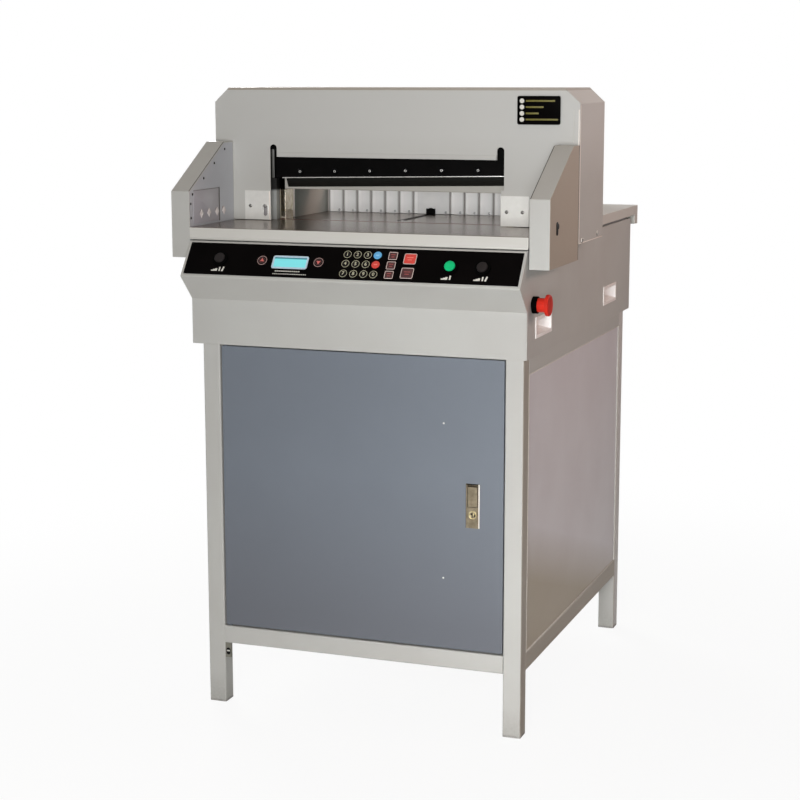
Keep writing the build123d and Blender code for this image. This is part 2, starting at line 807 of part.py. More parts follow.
def make_body():
    """Bed plate, bed frames, covers and hand grips of the body under the table."""
    places = [(side, y) for side in (-1, 1) for y in (-grip_front, grip_rear)]
    bed = block((-side_inner, side_inner), (sheet - body_front, body_rear - sheet), (stand_height, bed_top))
    bed -= bar("Z", (stand_height - over, bed_top + over), (pivot_x, pivot_y), pivot_radius + pin_gap)

    frames = []
    panels = []
    outline = side_outline() + [(body_rear, body_top), (body_rear, stand_height)]
    frame_cut = (frame_inner - over, frame_face + over)
    panel_cut = (side_inner - over, side_face + over)
    for side in (-1, 1):
        frame = block(
            sorted((side * frame_inner, side * frame_face)),
            (frame_front_room - body_front, body_rear - frame_rear_room),
            (bed_top, table_under),
        )
        panel = prism("X", outline, sorted((side * side_inner, side * side_face)))
        for place in places:
            if place[0] == side:
                frame -= grip_window_block(side, place[1], grip_window, frame_cut)
                panel -= grip_window_block(side, place[1], 0, panel_cut)
        if side > 0:
            panel -= bar("X", panel_cut, stop_place, stop_barrel + fit_gap)
        frames.append(frame)
        panels.append(panel)

    flange_end = (apron_flange - slope_top, body_top)
    apron = folded("X", side_outline() + [flange_end], (-side_inner, side_inner))
    deep = (-barrel_depth, barrel_depth)
    for x in (left_cut_x, clamp_x, right_cut_x):
        apron -= panel_bar(x, button_down, deep, barrel_radius + fit_gap)
    apron -= on_panel(lcd_x, lcd_down) * Box(lcd_width + lcd_rim, lcd_height + lcd_rim, 2 * lcd_depth)

    rear = block((-side_inner, side_inner), (body_rear - sheet, body_rear), (stand_height, body_top))
    rear -= block(
        (inlet_x - inlet_width / 2, inlet_x + inlet_width / 2),
        (body_rear - sheet - over, body_rear + over),
        (inlet_height - inlet_tall / 2, inlet_height + inlet_tall / 2),
    )
    supply = Pos(
        supply_inset[0] - side_face + supply_size[0] / 2,
        body_rear - supply_inset[1] + supply_size[1] / 2,
        bed_top + supply_size[2] / 2,
    ) * Box(*supply_size)
    supply = fillet(supply.edges().filter_by(Axis.Z), supply_round)
    return {
        "bed_plate": [bed],
        "bed_frames": frames,
        "body_side_panels": panels,
        "front_apron": [apron],
        "rear_body_panel": [rear],
        "side_grip_cups": [make_grip(*place) for place in places],
        "power_supply": [supply],
    }


def make_table():
    """Front and rear table, cutting stick and the two side guides."""
    inner = half_table - table_lip_wall
    lip_base = table_top - table_lip
    slot = (gauge_x - gauge_slot_width / 2, gauge_x + gauge_slot_width / 2)
    slot_cut = block(slot, (-gauge_slot_front, gauge_slot_rear), (table_under - over, table_top + over))

    front = block((-half_table, half_table), (-table_front, -table_split), (lip_base, table_top))
    front_hollow = (table_lip_wall - table_front, over - table_split)
    front -= block((-inner, inner), front_hollow, (lip_base - over, table_under))
    stick_mid = -blade_rear
    stick = block(
        (post_left, cheek_inner_right),
        (stick_mid - stick_width / 2, stick_mid + stick_width / 2),
        (table_top - stick_height, table_top),
    )
    front -= stick
    screw_hole = screw_radius_drive + slide_gap
    front -= bar("Z", (table_under - over, table_top + over), (screw_x, screw_y), screw_hole)
    front -= slot_cut

    rear_end = half_depth
    rear = block((-half_table, half_table), (-table_split, rear_end), (lip_base, table_top))
    rear_hollow = (-table_split - over, rear_end - hem_depth)
    rear -= block((-inner, inner), rear_hollow, (lip_base - over, table_under))
    hem_base = table_top - hem_height
    rear += block((-half_table, half_table), (rear_end - hem_depth, rear_end), (hem_base, lip_base))
    rear -= block(
        (-inner, inner),
        (rear_end - hem_depth + table_lip_wall, rear_end - table_lip_wall),
        (hem_base - over, table_under),
    )
    rear -= slot_cut

    guides = []
    guide_top = table_top + side_guide_height
    for face, side in ((left_guide_face, -1), (right_guide_face, 1)):
        spans = sorted((face, face + side * side_guide_wall))
        guide = block(spans, (-side_guide_front, side_guide_rear), (table_top, guide_top))
        corner = outer_edges(guide, Axis.X, (side_guide_rear, guide_top))
        guides.append(fillet(corner, side_guide_round))
    return {
        "front_table": [front],
        "rear_table": [rear],
        "cutting_stick": [stick],
        "side_guides": guides,
    }


def make_button(x):
    """A push button's cap, with a rounded rim and a shallow crown."""
    cap = panel_bar(x, button_down, (-button_depth, button_height), button_radius)
    rim = cap.edges().filter_by(GeomType.CIRCLE).sort_by(Axis(panel_frame.origin, panel_frame.z_dir))
    return fillet(rim[-1], button_round)


def make_button_collar(x):
    """The collar and switch barrel that a push button's cap slides in."""
    seat = overlay_wall
    collar = panel_bar(x, button_down, (seat, seat + collar_height), collar_radius)
    rim = collar.edges().filter_by(GeomType.CIRCLE).sort_by(Axis(panel_frame.origin, panel_frame.z_dir))
    collar = fillet(rim[-1], collar_round)
    collar += panel_bar(x, button_down, (-barrel_depth, seat), barrel_radius)
    bore = (barrel_floor - barrel_depth, seat + collar_height + over)
    return collar - panel_bar(x, button_down, bore, button_radius + slide_gap)


def make_controls():
    """Panel overlay, display, control board, push buttons and the emergency stop."""
    down_mid = (overlay_top + slope_length - overlay_foot) / 2
    overlay_size = (body_width - 2 * overlay_side, slope_length - overlay_top - overlay_foot)
    overlay = on_panel(0, down_mid, overlay_wall / 2) * Box(*overlay_size, overlay_wall)
    for x in (left_cut_x, clamp_x, right_cut_x):
        overlay -= panel_bar(x, button_down, (-over, overlay_wall + over), barrel_radius + fit_gap)
    overlay -= on_panel(lcd_x, lcd_down) * Box(lcd_width, lcd_height, 4 * overlay_wall)

    lcd = on_panel(lcd_x, lcd_down, -lcd_depth / 2) * Box(
        lcd_width + lcd_rim - 2 * fit_gap, lcd_height + lcd_rim - 2 * fit_gap, lcd_depth
    )
    lcd += on_panel(lcd_x, lcd_down, overlay_wall / 2) * Box(
        lcd_width - 2 * fit_gap, lcd_height - 2 * fit_gap, overlay_wall
    )

    board_mid = ((board_right - board_left) / 2, slope_length / 2)
    board_size = (board_right + board_left, slope_length - 2 * board_margin)
    board = on_panel(*board_mid, -lcd_depth - board_wall / 2) * Box(*board_size, board_wall)
    pieces = [board]
    for x in (-board_left + standoff_inset, board_mid[0], board_right - standoff_inset):
        for down in (board_margin + standoff_inset, slope_length - board_margin - standoff_inset):
            pieces.append(panel_bar(x, down, (-lcd_depth, -sheet), standoff_radius))

    collar = bar("X", (side_face, side_face + stop_collar_height), stop_place, stop_collar)
    collar = fillet(collar.edges().filter_by(GeomType.CIRCLE).sort_by(Axis.X)[-1], collar_round)
    collar += bar("X", (side_face - stop_barrel_depth, side_face), stop_place, stop_barrel)
    collar -= bar(
        "X",
        (side_face + sheet, side_face + stop_collar_height + over),
        stop_place,
        stop_bore,
    )
    collar -= bar(
        "X",
        (side_face - stop_stem_depth - stop_travel - over, side_face + over + sheet),
        stop_place,
        stop_stem + slide_gap,
    )
    neck_start = side_face + stop_collar_height - stop_neck_sunk
    head_start = side_face + stop_head_start
    head_end = side_face + stop_reach
    button = bar("X", (head_start, head_end), stop_place, stop_head)
    rims = button.edges().filter_by(GeomType.CIRCLE).sort_by(Axis.X)
    button = fillet(rims[-1], stop_round)
    rims = button.edges().filter_by(GeomType.CIRCLE).sort_by(Axis.X)
    button = fillet(rims[0], collar_round)
    button += bar("X", (neck_start, head_start), stop_place, stop_neck)
    button += bar("X", (side_face - stop_stem_depth, neck_start), stop_place, stop_stem)
    return {
        "control_overlay": [overlay],
        "lcd_module": [lcd],
        "control_board": pieces,
        "button_collars": [make_button_collar(x) for x in (left_cut_x, clamp_x, right_cut_x)] + [collar],
        "cut_button_left": [make_button(left_cut_x)],
        "cut_button_right": [make_button(right_cut_x)],
        "clamp_button": [make_button(clamp_x)],
        "estop_button": [button],
    }


def make_inlet():
    """Mains inlet and the rocker switch beside it, seen from behind the machine."""
    rim_face = body_rear + inlet_rim_wall
    inlet = block(
        (inlet_x - inlet_width / 2 - inlet_rim, inlet_x + inlet_width / 2 + inlet_rim),
        (body_rear, rim_face),
        (inlet_height - inlet_tall / 2 - inlet_rim, inlet_height + inlet_tall / 2 + inlet_rim),
    )
    inlet += block(
        (inlet_x - inlet_width / 2 + fit_gap, inlet_x + inlet_width / 2 - fit_gap),
        (body_rear - inlet_depth, body_rear),
        (inlet_height - inlet_tall / 2 + fit_gap, inlet_height + inlet_tall / 2 - fit_gap),
    )
    socket_x = inlet_x - socket_offset
    inlet -= block(
        (socket_x - socket_width / 2, socket_x + socket_width / 2),
        (rim_face - socket_depth, rim_face + over),
        (inlet_height - socket_tall / 2, inlet_height + socket_tall / 2),
    )
    for step, lift in ((-1, 0), (0, 1), (1, 0)):
        x = socket_x + step * socket_pin_pitch
        z = inlet_height + lift * socket_pin_width
        inlet += block(
            (x - socket_pin_width / 2, x + socket_pin_width / 2),
            (rim_face - socket_depth - over, rim_face - socket_depth + socket_pin_length),
            (z - socket_pin_tall / 2, z + socket_pin_tall / 2),
        )
    rocker_x = inlet_x + rocker_offset
    well_half = rocker_well_width / 2
    inlet -= block(
        (rocker_x - well_half, rocker_x + well_half),
        (rim_face - rocker_well_depth, rim_face + over),
        (inlet_height - rocker_well_tall / 2, inlet_height + rocker_well_tall / 2),
    )
    pivot = rim_face - rocker_pivot
    axle_half = well_half + axle_reach
    axle_y = (pivot, inlet_height)
    inlet -= bar("X", (rocker_x - axle_half, rocker_x + axle_half), axle_y, rocker_axle + pin_gap)
    outline = [
        (pivot - rocker_back, inlet_height - rocker_half),
        (pivot + rocker_crest, inlet_height - rocker_half),
        (pivot + rocker_waist, inlet_height),
        (pivot + rocker_crest, inlet_height + rocker_half),
        (pivot - rocker_back, inlet_height + rocker_half),
    ]
    reach = well_half - rocker_gap
    rocker = prism("X", outline, (rocker_x - reach, rocker_x + reach))
    axle_half -= slide_gap
    rocker += bar("X", (rocker_x - axle_half, rocker_x + axle_half), axle_y, rocker_axle)
    axis = Axis((rocker_x, pivot, inlet_height), (1, 0, 0))
    return {"power_inlet": [inlet], "main_switch_rocker": [rocker.rotate(axis, -rocker_tilt)]}


def make_head_covers():
    """Sheet covers of the head, side guards, cover plates, lenses and dome screws."""
    slope_base = head_top - head_corner_height
    slope_x = half_head - head_corner_width
    hood_path = [
        (-half_head, head_skirt),
        (-half_head, slope_base),
        (-slope_x, head_top),
        (slope_x, head_top),
        (half_head, slope_base),
        (half_head, head_skirt),
    ]
    hood = folded("Y", hood_path, (sheet - head_front, -head_rear - sheet))

    skirt_inner = half_table + guard_table_gap
    plate_outline = [
        (-half_head, head_skirt),
        (-skirt_inner, head_skirt),
        (-skirt_inner, cover_base),
        (skirt_inner, cover_base),
        (skirt_inner, head_skirt),
        (half_head, head_skirt),
        (half_head, slope_base),
        (slope_x, head_top),
        (-slope_x, head_top),
        (-half_head, slope_base),
    ]
    front_y = (-head_front, sheet - head_front)
    cut_y = (front_y[0] - over, front_y[1] + over)
    front = prism("Y", plate_outline, front_y)
    front -= block((mouth_left, mouth_right), cut_y, (cover_base - over, mouth_top))
    front -= block((mouth_left, slot_right + slot_width), cut_y, (table_top + jog_rise, mouth_top))
    slot_radius = slot_width / 2
    for left in (mouth_left, slot_right):
        middle = (left + slot_radius, table_top + slot_rise - slot_radius)
        front -= block((left, left + slot_width), cut_y, (mouth_top - over, middle[1]))
        front -= bar("Y", cut_y, middle, slot_radius)
    lip_y = (front_y[0] - lip_wall, front_y[0])
    front += block((lip_left, lip_right), lip_y, (mouth_top, mouth_top + lip_height))

    back_y = (-head_rear - sheet, -head_rear)
    back = prism("Y", plate_outline, back_y)
    back -= block(
        (left_guide_face - back_mouth_margin, right_guide_face + back_mouth_margin),
        (back_y[0] - over, back_y[1] + over),
        (cover_base - over, table_top + back_mouth_height),
    )

    guard_base = table_top - guard_drop
    outline = [
        (-guard_front, guard_base),
        (-head_front, guard_base),
        (-head_front, guard_top),
        (-guard_shoulder, guard_top),
        (-guard_front, guard_knee),
    ]
    hollow = shifted(outline, sheet, closed=True)
    shell = prism("X", outline, (guard_inner, half_head))
    fold_edges = outer_edges(shell, Axis.X, outline[-1]) + outer_edges(shell, Axis.X, outline[-2])
    shell = fillet(fold_edges, bend)
    shell -= prism("X", hollow, (guard_inner - over, head_inner))
    latch_y = latch_setback - guard_front
    latch_z = (table_top + latch_rise - latch_half, table_top + latch_rise + latch_half)
    wall_cut = (head_inner - over, half_head + over)
    shell -= block(wall_cut, (latch_y - latch_radius, latch_y + latch_radius), latch_z)
    for z in latch_z:
        shell -= bar("X", wall_cut, (latch_y, z), latch_radius)
    plate = prism("X", hollow, (guard_inner, guard_inner + sheet))
    guard_depth = guard_front - head_front
    window = (guard_inner - over, guard_inner + sheet + over)
    span = (guard_inner - lens_proud, guard_inner - lens_proud + lens_depth)
    lenses = []
    for share in lens_shares:
        place = (-head_front - share * guard_depth, table_top + lens_rise)
        plate -= bar("X", window, place, lens_radius + fit_gap)
        lenses += mirrored(bar("X", span, place, lens_radius))
    fall = (guard_top - guard_knee) / (guard_front - guard_shoulder)
    guard_places = [(guard_foot_screw[0] - guard_front, table_top + guard_foot_screw[1])]
    for share in guard_screw_shares:
        reach = head_front + share * guard_depth
        edge_height = guard_top - max(0, reach - guard_shoulder) * fall
        guard_places.append((-reach, edge_height - guard_screw_drop))
    screws = []
    for place in guard_places:
        head = bar("X", (guard_inner - guard_screw_height, guard_inner), place, guard_screw_radius)
        screws += mirrored(head)

    plate_y = (-head_front - cheek_plate_wall, -head_front)
    plate_z = (cover_base, table_top + cheek_plate_rise)
    left_plate = block((mouth_left - cheek_plate_width, mouth_left), plate_y, plate_z)
    right_plate = block((mouth_right, mouth_right + cheek_plate_width), plate_y, plate_z)

    for left in (mouth_left - cheek_plate_width, mouth_right):
        for x in (left + cheek_screw_inset, left + cheek_plate_width - cheek_screw_inset):
            place = (x, table_top + cheek_screw_rise)
            head = bar("Y", (plate_y[0] - screw_height, plate_y[0]), place, screw_radius)
            screws.append(fillet(head.edges().filter_by(GeomType.CIRCLE).sort_by(Axis.Y)[0], screw_round))
    for setback, drop in skirt_screws:
        place = (-setback, table_top - drop)
        head = bar("X", (half_head, half_head + skirt_screw_height), place, screw_radius)
        screws += mirrored(head)
    return {
        "head_hood": [hood],
        "head_front_cover": [front],
        "head_back_cover": [back],
        "right_wing_guard": [shell],
        "left_wing_guard": [mirror(shell, about=Plane.YZ)],
        "wing_inner_plates": mirrored(plate),
        "light_curtain_lenses": lenses,
        "cheek_cover_plates": [left_plate, right_plate],
        "cover_screws": screws,
    }


def make_cheeks():
    """The two cheeks with the knife's slanted slots, the clamp's posts and the cross beam."""
    plate_y = (-guide_front, -guide_rear)
    cut_y = (plate_y[0] - over, plate_y[1] + over)
    web_inner = head_inner - web_wall
    cheeks = []
    for side, inner in ((-1, -cheek_inner_left), (1, cheek_inner_right)):
        cheek_x = sorted((side * inner, side * (head_inner - cheek_side_gap)))
        cheek = block(cheek_x, plate_y, (table_top, cheek_top))
        web_x = sorted((side * web_inner, side * head_inner))
        foot_x = sorted((side * (web_inner - foot_reach), side * web_inner))
        web_y = (-guide_rear, -web_rear)
        cheek += block(web_x, web_y, (table_top + cover_gap, cheek_top))
        cheek += block(foot_x, web_y, (table_top, table_top + foot_height))
        cheeks.append(cheek)
    left, right = cheeks
    left -= slot_between(
        left_pin_high, left_pin_low, block_width + 2 * slide_gap, block_length / 2 + slide_gap, cut_y
    )
    right -= slot_between(
        right_pin_high, right_pin_low, 2 * (roller_radius + slide_gap), roller_radius + slide_gap, cut_y
    )

    beam = block((-web_inner, web_inner), (-beam_front, -beam_rear), (beam_base, cheek_top))
    shelf_y = (-beam_rear, -head_rear - sheet - slide_gap)
    shelf_half = clamp_motor_radius + shelf_margin
    shelf_x = (clamp_motor_x - shelf_half, clamp_motor_x + shelf_half)
    beam += block(shelf_x, shelf_y, (cheek_top - shelf_wall, cheek_top))
    tall = (beam_base - over, cheek_top + over)
    for x in (clamp_screw_left, clamp_screw_right):
        beam -= bar("Z", tall, (x, clamp_screw_y), screw_radius_drive + slide_gap)
    beam -= bar("Z", tall, (screw_x, screw_y), screw_radius_drive + slide_gap)
    beam -= bar("Z", tall, (clamp_motor_x, clamp_motor_y), clamp_motor_shaft + slide_gap)

    post_y = (-post_front, -post_rear)
    posts = [
        block((post_left, cut_left - slide_gap), post_y, (table_top, beam_base - post_gap)),
        block((cut_right + slide_gap, cheek_inner_right), post_y, (table_top, beam_base - post_gap)),
    ]
    return {
        "side_cheeks": [left, right],
        "cross_beam": [beam],
        "clamp_guide_posts": posts,
    }


def place_knife(solid):
    """Moves a solid drawn level, from the left pin, to the knife's raised place."""
    return Pos(left_pin_high[0], 0, left_pin_high[1]) * Rot(0, -knife_tilt, 0) * solid


def make_knife():
    """Knife block, carrier, blade and bolts, drawn level from the left pin and then raised."""
    edge = -pin_above_edge
    low = edge + carrier_over_edge
    carrier_y = (-carrier_front, -carrier_rear)
    carrier = block((-carrier_end, pin_span + carrier_end), carrier_y, (low, carrier_rise))
    carrier = fillet(outer_edges(carrier, Axis.X, (-carrier_front, low)), carrier_round)
    blade_y = (-carrier_rear, -blade_rear)
    blade = block((blade_left, blade_right), blade_y, (edge, edge + blade_height))
    bevel = [
        (-carrier_rear - over, edge - over),
        (-blade_rear - edge_flat, edge - over),
        (-blade_rear - edge_flat, edge),
        (-carrier_rear, edge + bevel_height),
        (-carrier_rear - over, edge + bevel_height),
    ]
    blade -= prism("X", bevel, (blade_left - over, blade_right + over))
    bolts = []
    bolt_z = edge + bolt_above_edge
    for index in range(bolt_count):
        centre = (bolt_first + index * bolt_pitch, bolt_z)
        carrier -= bar("Y", (-carrier_front - over, -carrier_rear + over), centre, bolt_radius + bolt_gap)
        blade -= bar("Y", (-carrier_rear - over, -blade_rear + over), centre, bolt_radius + bolt_gap)
        bolt = bar("Y", (-carrier_front - bolt_head_height, -carrier_front), centre, bolt_head)
        bolt = fillet(bolt.edges().filter_by(GeomType.CIRCLE).sort_by(Axis.Y)[0], screw_round / 2)
        bolt += bar("Y", (-carrier_front, -blade_rear), centre, bolt_radius)
        hexagon = Plane.XZ * RegularPolygon(bolt_socket, 6)
        socket = extrude(hexagon, amount=bolt_socket_depth, dir=(0, 1, 0))
        bolt -= Pos(centre[0], -carrier_front - bolt_head_height, centre[1]) * socket
        bolts.append(place_knife(bolt))
    carrier += bar("Y", (-carrier_rear, -guide_rear - pin_short), (0, 0), left_pin_radius)
    roller_end = pin_short - guide_rear
    carrier += bar("Y", (-carrier_rear, roller_end), (pin_span, 0), roller_radius)
    carrier += bar("Y", (roller_end, -nut_slot_rear - pin_short), (pin_span, 0), right_pin_radius)

    run = left_pin_high[0] - left_pin_low[0]
    drop = left_pin_high[1] - left_pin_low[1]
    lean = math.degrees(math.atan2(run, drop))
    slider = Rot(0, lean, 0) * Box(block_width, guide_front - guide_rear, block_length)
    slider = Pos(left_pin_high[0], -(guide_front + guide_rear) / 2, left_pin_high[1]) * slider
    slider -= bar("Y", (-guide_front - over, over - guide_rear), left_pin_high, left_pin_radius + pin_gap)
    return {
        "knife_block": [slider],
        "knife_carrier": [place_knife(carrier)],
        "knife_blade": [place_knife(blade)],
        "knife_bolts": bolts,
    }


def make_knife_drive():
    """Nut block, vertical screw and gearmotor that pull the knife's right pin down."""
    height = right_pin_high[1]
    nut = block(
        (screw_x - nut_width / 2, screw_x + nut_width / 2),
        (-beam_front, -nut_rear),
        (height - nut_half_height, height + nut_half_height),
    )
    slot_half = right_pin_radius + slide_gap
    nut -= block(
        (screw_x - nut_slot_half, screw_x + nut_slot_half),
        (-beam_front - over, -nut_slot_rear),
        (height - slot_half, height + slot_half),
    )
    tall = (height - nut_half_height - over, height + nut_half_height + over)
    nut -= bar("Z", tall, (screw_x, screw_y), screw_radius_drive + pin_gap)
    centre = (screw_x, screw_y)
    screw = bar("Z", (drive_screw_foot, cheek_top + drive_screw_over), centre, screw_radius_drive)
    rest = cheek_top + slide_gap
    screw += bar("Z", (rest, rest + collar_wall), centre, screw_collar)

    gearbox_y = (-gearbox_front, -gearbox_rear)
    gearbox = block((gearbox_left, gearbox_right), gearbox_y, (table_top - gearbox_drop, table_under))
    gearbox = fillet(gearbox.edges().filter_by(Axis.Z), motor_round)
    motor_x = (gearbox_left - drive_motor_length, gearbox_left)
    motor = bar("X", motor_x, (screw_y, table_top - motor_drop), motor_radius)
    motor = fillet(motor.edges().filter_by(GeomType.CIRCLE).sort_by(Axis.X)[0], motor_round)
    gearbox += motor
    foot_hole = (drive_screw_foot - pin_short, table_under + over)
    gearbox -= bar("Z", foot_hole, centre, screw_radius_drive + pin_gap)
    return {
        "knife_nut": [nut],
        "knife_screw": [screw],
        "knife_gearmotor": [gearbox],
    }


def belt_loop(extra):
    """The belt's outline round the two clamp screws and the motor pulley."""
    rounds = [
        (clamp_screw_left, clamp_screw_y, pulley_radius),
        (clamp_screw_right, clamp_screw_y, pulley_radius),
        (clamp_motor_x, clamp_motor_y, clamp_motor_pulley),
    ]
    circles = [Pos(x, y) * Circle(radius + extra) for x, y, radius in rounds]
    return make_hull([edge for circle in circles for edge in circle.edges()])


def make_clamp():
    """Clamp bar with its nuts, two screws joined by a belt, and the clamp motor."""
    top = clamp_base + clamp_height
    bar_y = (-clamp_front, -clamp_rear)
    clamp = block((cut_left, cut_right), bar_y, (clamp_base, top))
    clamp = fillet(outer_edges(clamp, Axis.X, (-clamp_front, clamp_base)), clamp_round)
    screw_foot = clamp_base + clamp_floor + pin_short
    pieces = []
    screws = {}
    for name, x in (("left_clamp_screw", clamp_screw_left), ("right_clamp_screw", clamp_screw_right)):
        centre = (x, clamp_screw_y)
        bore = screw_radius_drive + pin_gap
        clamp -= bar("Z", (clamp_base + clamp_floor, top + over), centre, bore)
        nut = bar("Z", (top, top + clamp_nut_height), centre, clamp_nut_radius)
        nut -= bar("Z", (top - over, top + clamp_nut_height + over), centre, bore)
        pieces.append(nut)
        screw = bar("Z", (screw_foot, pulley_base + pulley_wall), centre, screw_radius_drive)
        screw += bar("Z", (cheek_top + slide_gap, pulley_base), centre, screw_collar)
        screw += bar("Z", (pulley_base, pulley_base + pulley_wall), centre, pulley_radius)
        screws[name] = [screw]

    motor_centre = (clamp_motor_x, clamp_motor_y)
    motor_top = cheek_top - shelf_wall
    motor = bar("Z", (motor_top - clamp_motor_length, motor_top), motor_centre, clamp_motor_radius)
    motor = fillet(motor.edges().filter_by(GeomType.CIRCLE).sort_by(Axis.Z)[0], motor_round)
    shaft_hole = (motor_top - shaft_depth - pin_short, motor_top + over)
    motor -= bar("Z", shaft_hole, motor_centre, clamp_motor_shaft + pin_gap)
    pulley = bar("Z", (motor_top - shaft_depth, pulley_base), motor_centre, clamp_motor_shaft)
    pulley += bar("Z", (pulley_base, pulley_base + pulley_wall), motor_centre, clamp_motor_pulley)

    belt_base = pulley_base + (pulley_wall - belt_width) / 2
    ring = belt_loop(belt_wall + slide_gap) - belt_loop(slide_gap)
    loop = extrude(ring, amount=belt_width, dir=(0, 0, 1))
    return {
        "clamp_bar": [clamp] + pieces,
        **screws,
        "clamp_motor": [motor],
        "clamp_motor_pulley": [pulley],
        "clamp_belt": [Pos(0, 0, belt_base) * loop],
    }


def groove_places():
    """Left edges of the grooves in the backgauge's face, from its wide middle pad outwards."""
    places = []
    x = gauge_middle_left - gauge_groove
    while x > gauge_left + gauge_groove:
        places.append(x)
        x -= gauge_pad + gauge_groove
    x = gauge_middle_right
    while x < gauge_right - 2 * gauge_groove:
        places.append(x)
        x += gauge_pad + gauge_groove
    return places


def make_backgauge():
    """Grooved backgauge, its carriage under the table, rods, screw and motor."""
    base = table_top + gauge_lift
    face = (gauge_front, gauge_front + gauge_plate)
    comb = block((gauge_left, gauge_right), face, (base, gauge_top))
    bracket_end = face[1] + gauge_bracket_depth
    comb += block(
        (gauge_x - gauge_bracket_half, gauge_x + gauge_bracket_half),
        (face[1], bracket_end),
        (base, base + gauge_bracket_height),
    )
    groove_y = (face[0] - over, face[0] + gauge_groove_depth)
    for x in groove_places():
        comb -= block((x, x + gauge_groove), groove_y, (base - over, gauge_top + over))
    tongue = (gauge_x - tongue_width / 2, gauge_x + tongue_width / 2)
    tongue_top = base + gauge_bracket_height - sheet
    slot = (tongue[0] - pin_gap, tongue[1] + pin_gap)
    comb -= block(slot, (face[0] - over, tongue_rear + pin_gap), (base - over, tongue_top + pin_gap))

    under = table_under - slide_gap
    rear = carriage_front + carriage_length
    wide = (gauge_x - carriage_half, gauge_x + carriage_half)
    carriage = block(wide, (carriage_front, rear), (table_top - carriage_drop, under))
    carriage += block(tongue, (tongue_front, tongue_rear), (under, tongue_top))
    carriage += block(tongue, (wiper_front, tongue_front), (base, tongue_top))
    wiper = (gauge_x - wiper_width / 2, gauge_x + wiper_width / 2)
    carriage += block(wiper, (wiper_front, gauge_front - slide_gap), (base, base + wiper_height))
    centre = (gauge_x, gauge_screw_height)
    cut = (carriage_front - over, rear + over)
    carriage -= bar("Y", cut, centre, gauge_screw_radius + pin_gap)

    front = -gauge_bearing_front
    back = gauge_bearing_rear + gauge_bearing_wall
    rail = []
    for y in (front, gauge_bearing_rear):
        bearing = block(
            (gauge_x - gauge_bearing_half, gauge_x + gauge_bearing_half),
            (y, y + gauge_bearing_wall),
            (table_top - gauge_bearing_drop, table_under),
        )
        bearing -= bar("Y", (y - over, y + gauge_bearing_wall + over), centre, gauge_screw_radius + pin_gap)
        rail.append(bearing)
    for x in (gauge_x - guide_rod_offset, gauge_x + guide_rod_offset):
        carriage -= bar("Y", cut, (x, gauge_screw_height), guide_rod_radius + pin_gap)
        rod = (front + gauge_bearing_wall, gauge_bearing_rear)
        rail.append(bar("Y", rod, (x, gauge_screw_height), guide_rod_radius))
    screw = bar("Y", (front - gauge_motor_shaft, back - pin_short), centre, gauge_screw_radius)
    motor = bar("Y", (front - gauge_motor_length, front), centre, gauge_motor_radius)
    motor = fillet(motor.edges().filter_by(GeomType.CIRCLE).sort_by(Axis.Y)[0], motor_round)
    shaft_hole = (front - gauge_motor_shaft - pin_short, front + over)
    motor -= bar("Y", shaft_hole, centre, gauge_screw_radius + pin_gap)
    return {
        "backgauge": [comb],
        "gauge_carriage": [carriage],
        "gauge_rail": rail,
        "gauge_screw": [screw],
        "gauge_motor": [motor],
    }


def main():
    """Builds every piece and writes one file for each."""
    os.makedirs("parts", exist_ok=True)
    makers = (
        make_stand,
        make_door,
        make_body,
        make_table,
        make_controls,
        make_inlet,
        make_head_covers,
        make_cheeks,
        make_knife,
        make_knife_drive,
        make_clamp,
        make_backgauge,
    )
    nodes = {}
    for maker in makers:
        nodes.update(maker())
    for name, solids in nodes.items():
        pieces = [solid for piece in solids for solid in piece.solids()]
        shape = pieces[0] if len(pieces) == 1 else Compound(pieces)
        export_step(shape, f"parts/{name}.step")
    print(len(nodes), "nodes")


main()
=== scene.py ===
import math
import bpy
from mathutils import Matrix, Vector


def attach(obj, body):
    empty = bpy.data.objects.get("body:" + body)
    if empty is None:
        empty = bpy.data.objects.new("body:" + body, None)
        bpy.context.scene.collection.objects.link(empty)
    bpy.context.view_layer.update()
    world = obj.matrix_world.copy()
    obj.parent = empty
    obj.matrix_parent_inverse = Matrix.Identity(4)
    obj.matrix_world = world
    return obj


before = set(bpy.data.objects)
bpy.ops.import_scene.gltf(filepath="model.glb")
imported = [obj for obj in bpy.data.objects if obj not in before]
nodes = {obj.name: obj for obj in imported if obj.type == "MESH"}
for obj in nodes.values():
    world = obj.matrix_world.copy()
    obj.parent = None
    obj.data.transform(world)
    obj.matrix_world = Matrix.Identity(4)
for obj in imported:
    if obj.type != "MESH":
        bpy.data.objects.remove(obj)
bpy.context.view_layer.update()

# Electric paper cutter on a cabinet stand. X to the operator's right, Y to the back, Z up.
# Places and sizes are in millimetres; the helpers turn them into Blender's metres.

mm = 0.001

# Places taken over from the CAD model
slope_angle = math.atan2(63.5, 46.0)
slope_head = (0, -407.0, 914.5)
film_top = 1.2
half_head = 370.6
head_face = 208.0
hood_face = 211.0
guard_face = 333.0
door_face = 383.0
table_top = 939.0
knife_lean = 1.3
key_columns = (-6.5, 13.3, 33.1, 52.2)
key_rows = (20.0, 39.5, 60.0)
lens_places = (-355.75, -323.25, -287.8, -257.25)
sides = ((-1, "left"), (1, "right"))


def paint(code):
    """An sRGB colour in hex as the linear colour that a shader takes."""
    shares = [int(code[start:start + 2], 16) / 255 for start in (1, 3, 5)]
    return [s / 12.92 if s <= 0.04045 else ((s + 0.055) / 1.055) ** 2.4 for s in shares] + [1.0]


def feed(node, inputs):
    """Gives a node's inputs values or links. A node as the value stands for its first output in use."""
    for name, value in inputs.items():
        if isinstance(value, bpy.types.Node):
            value = next(socket for socket in value.outputs if socket.enabled)
        if isinstance(value, bpy.types.NodeSocket):
            node.id_data.links.new(value, node.inputs[name])
        else:
            node.inputs[name].default_value = value


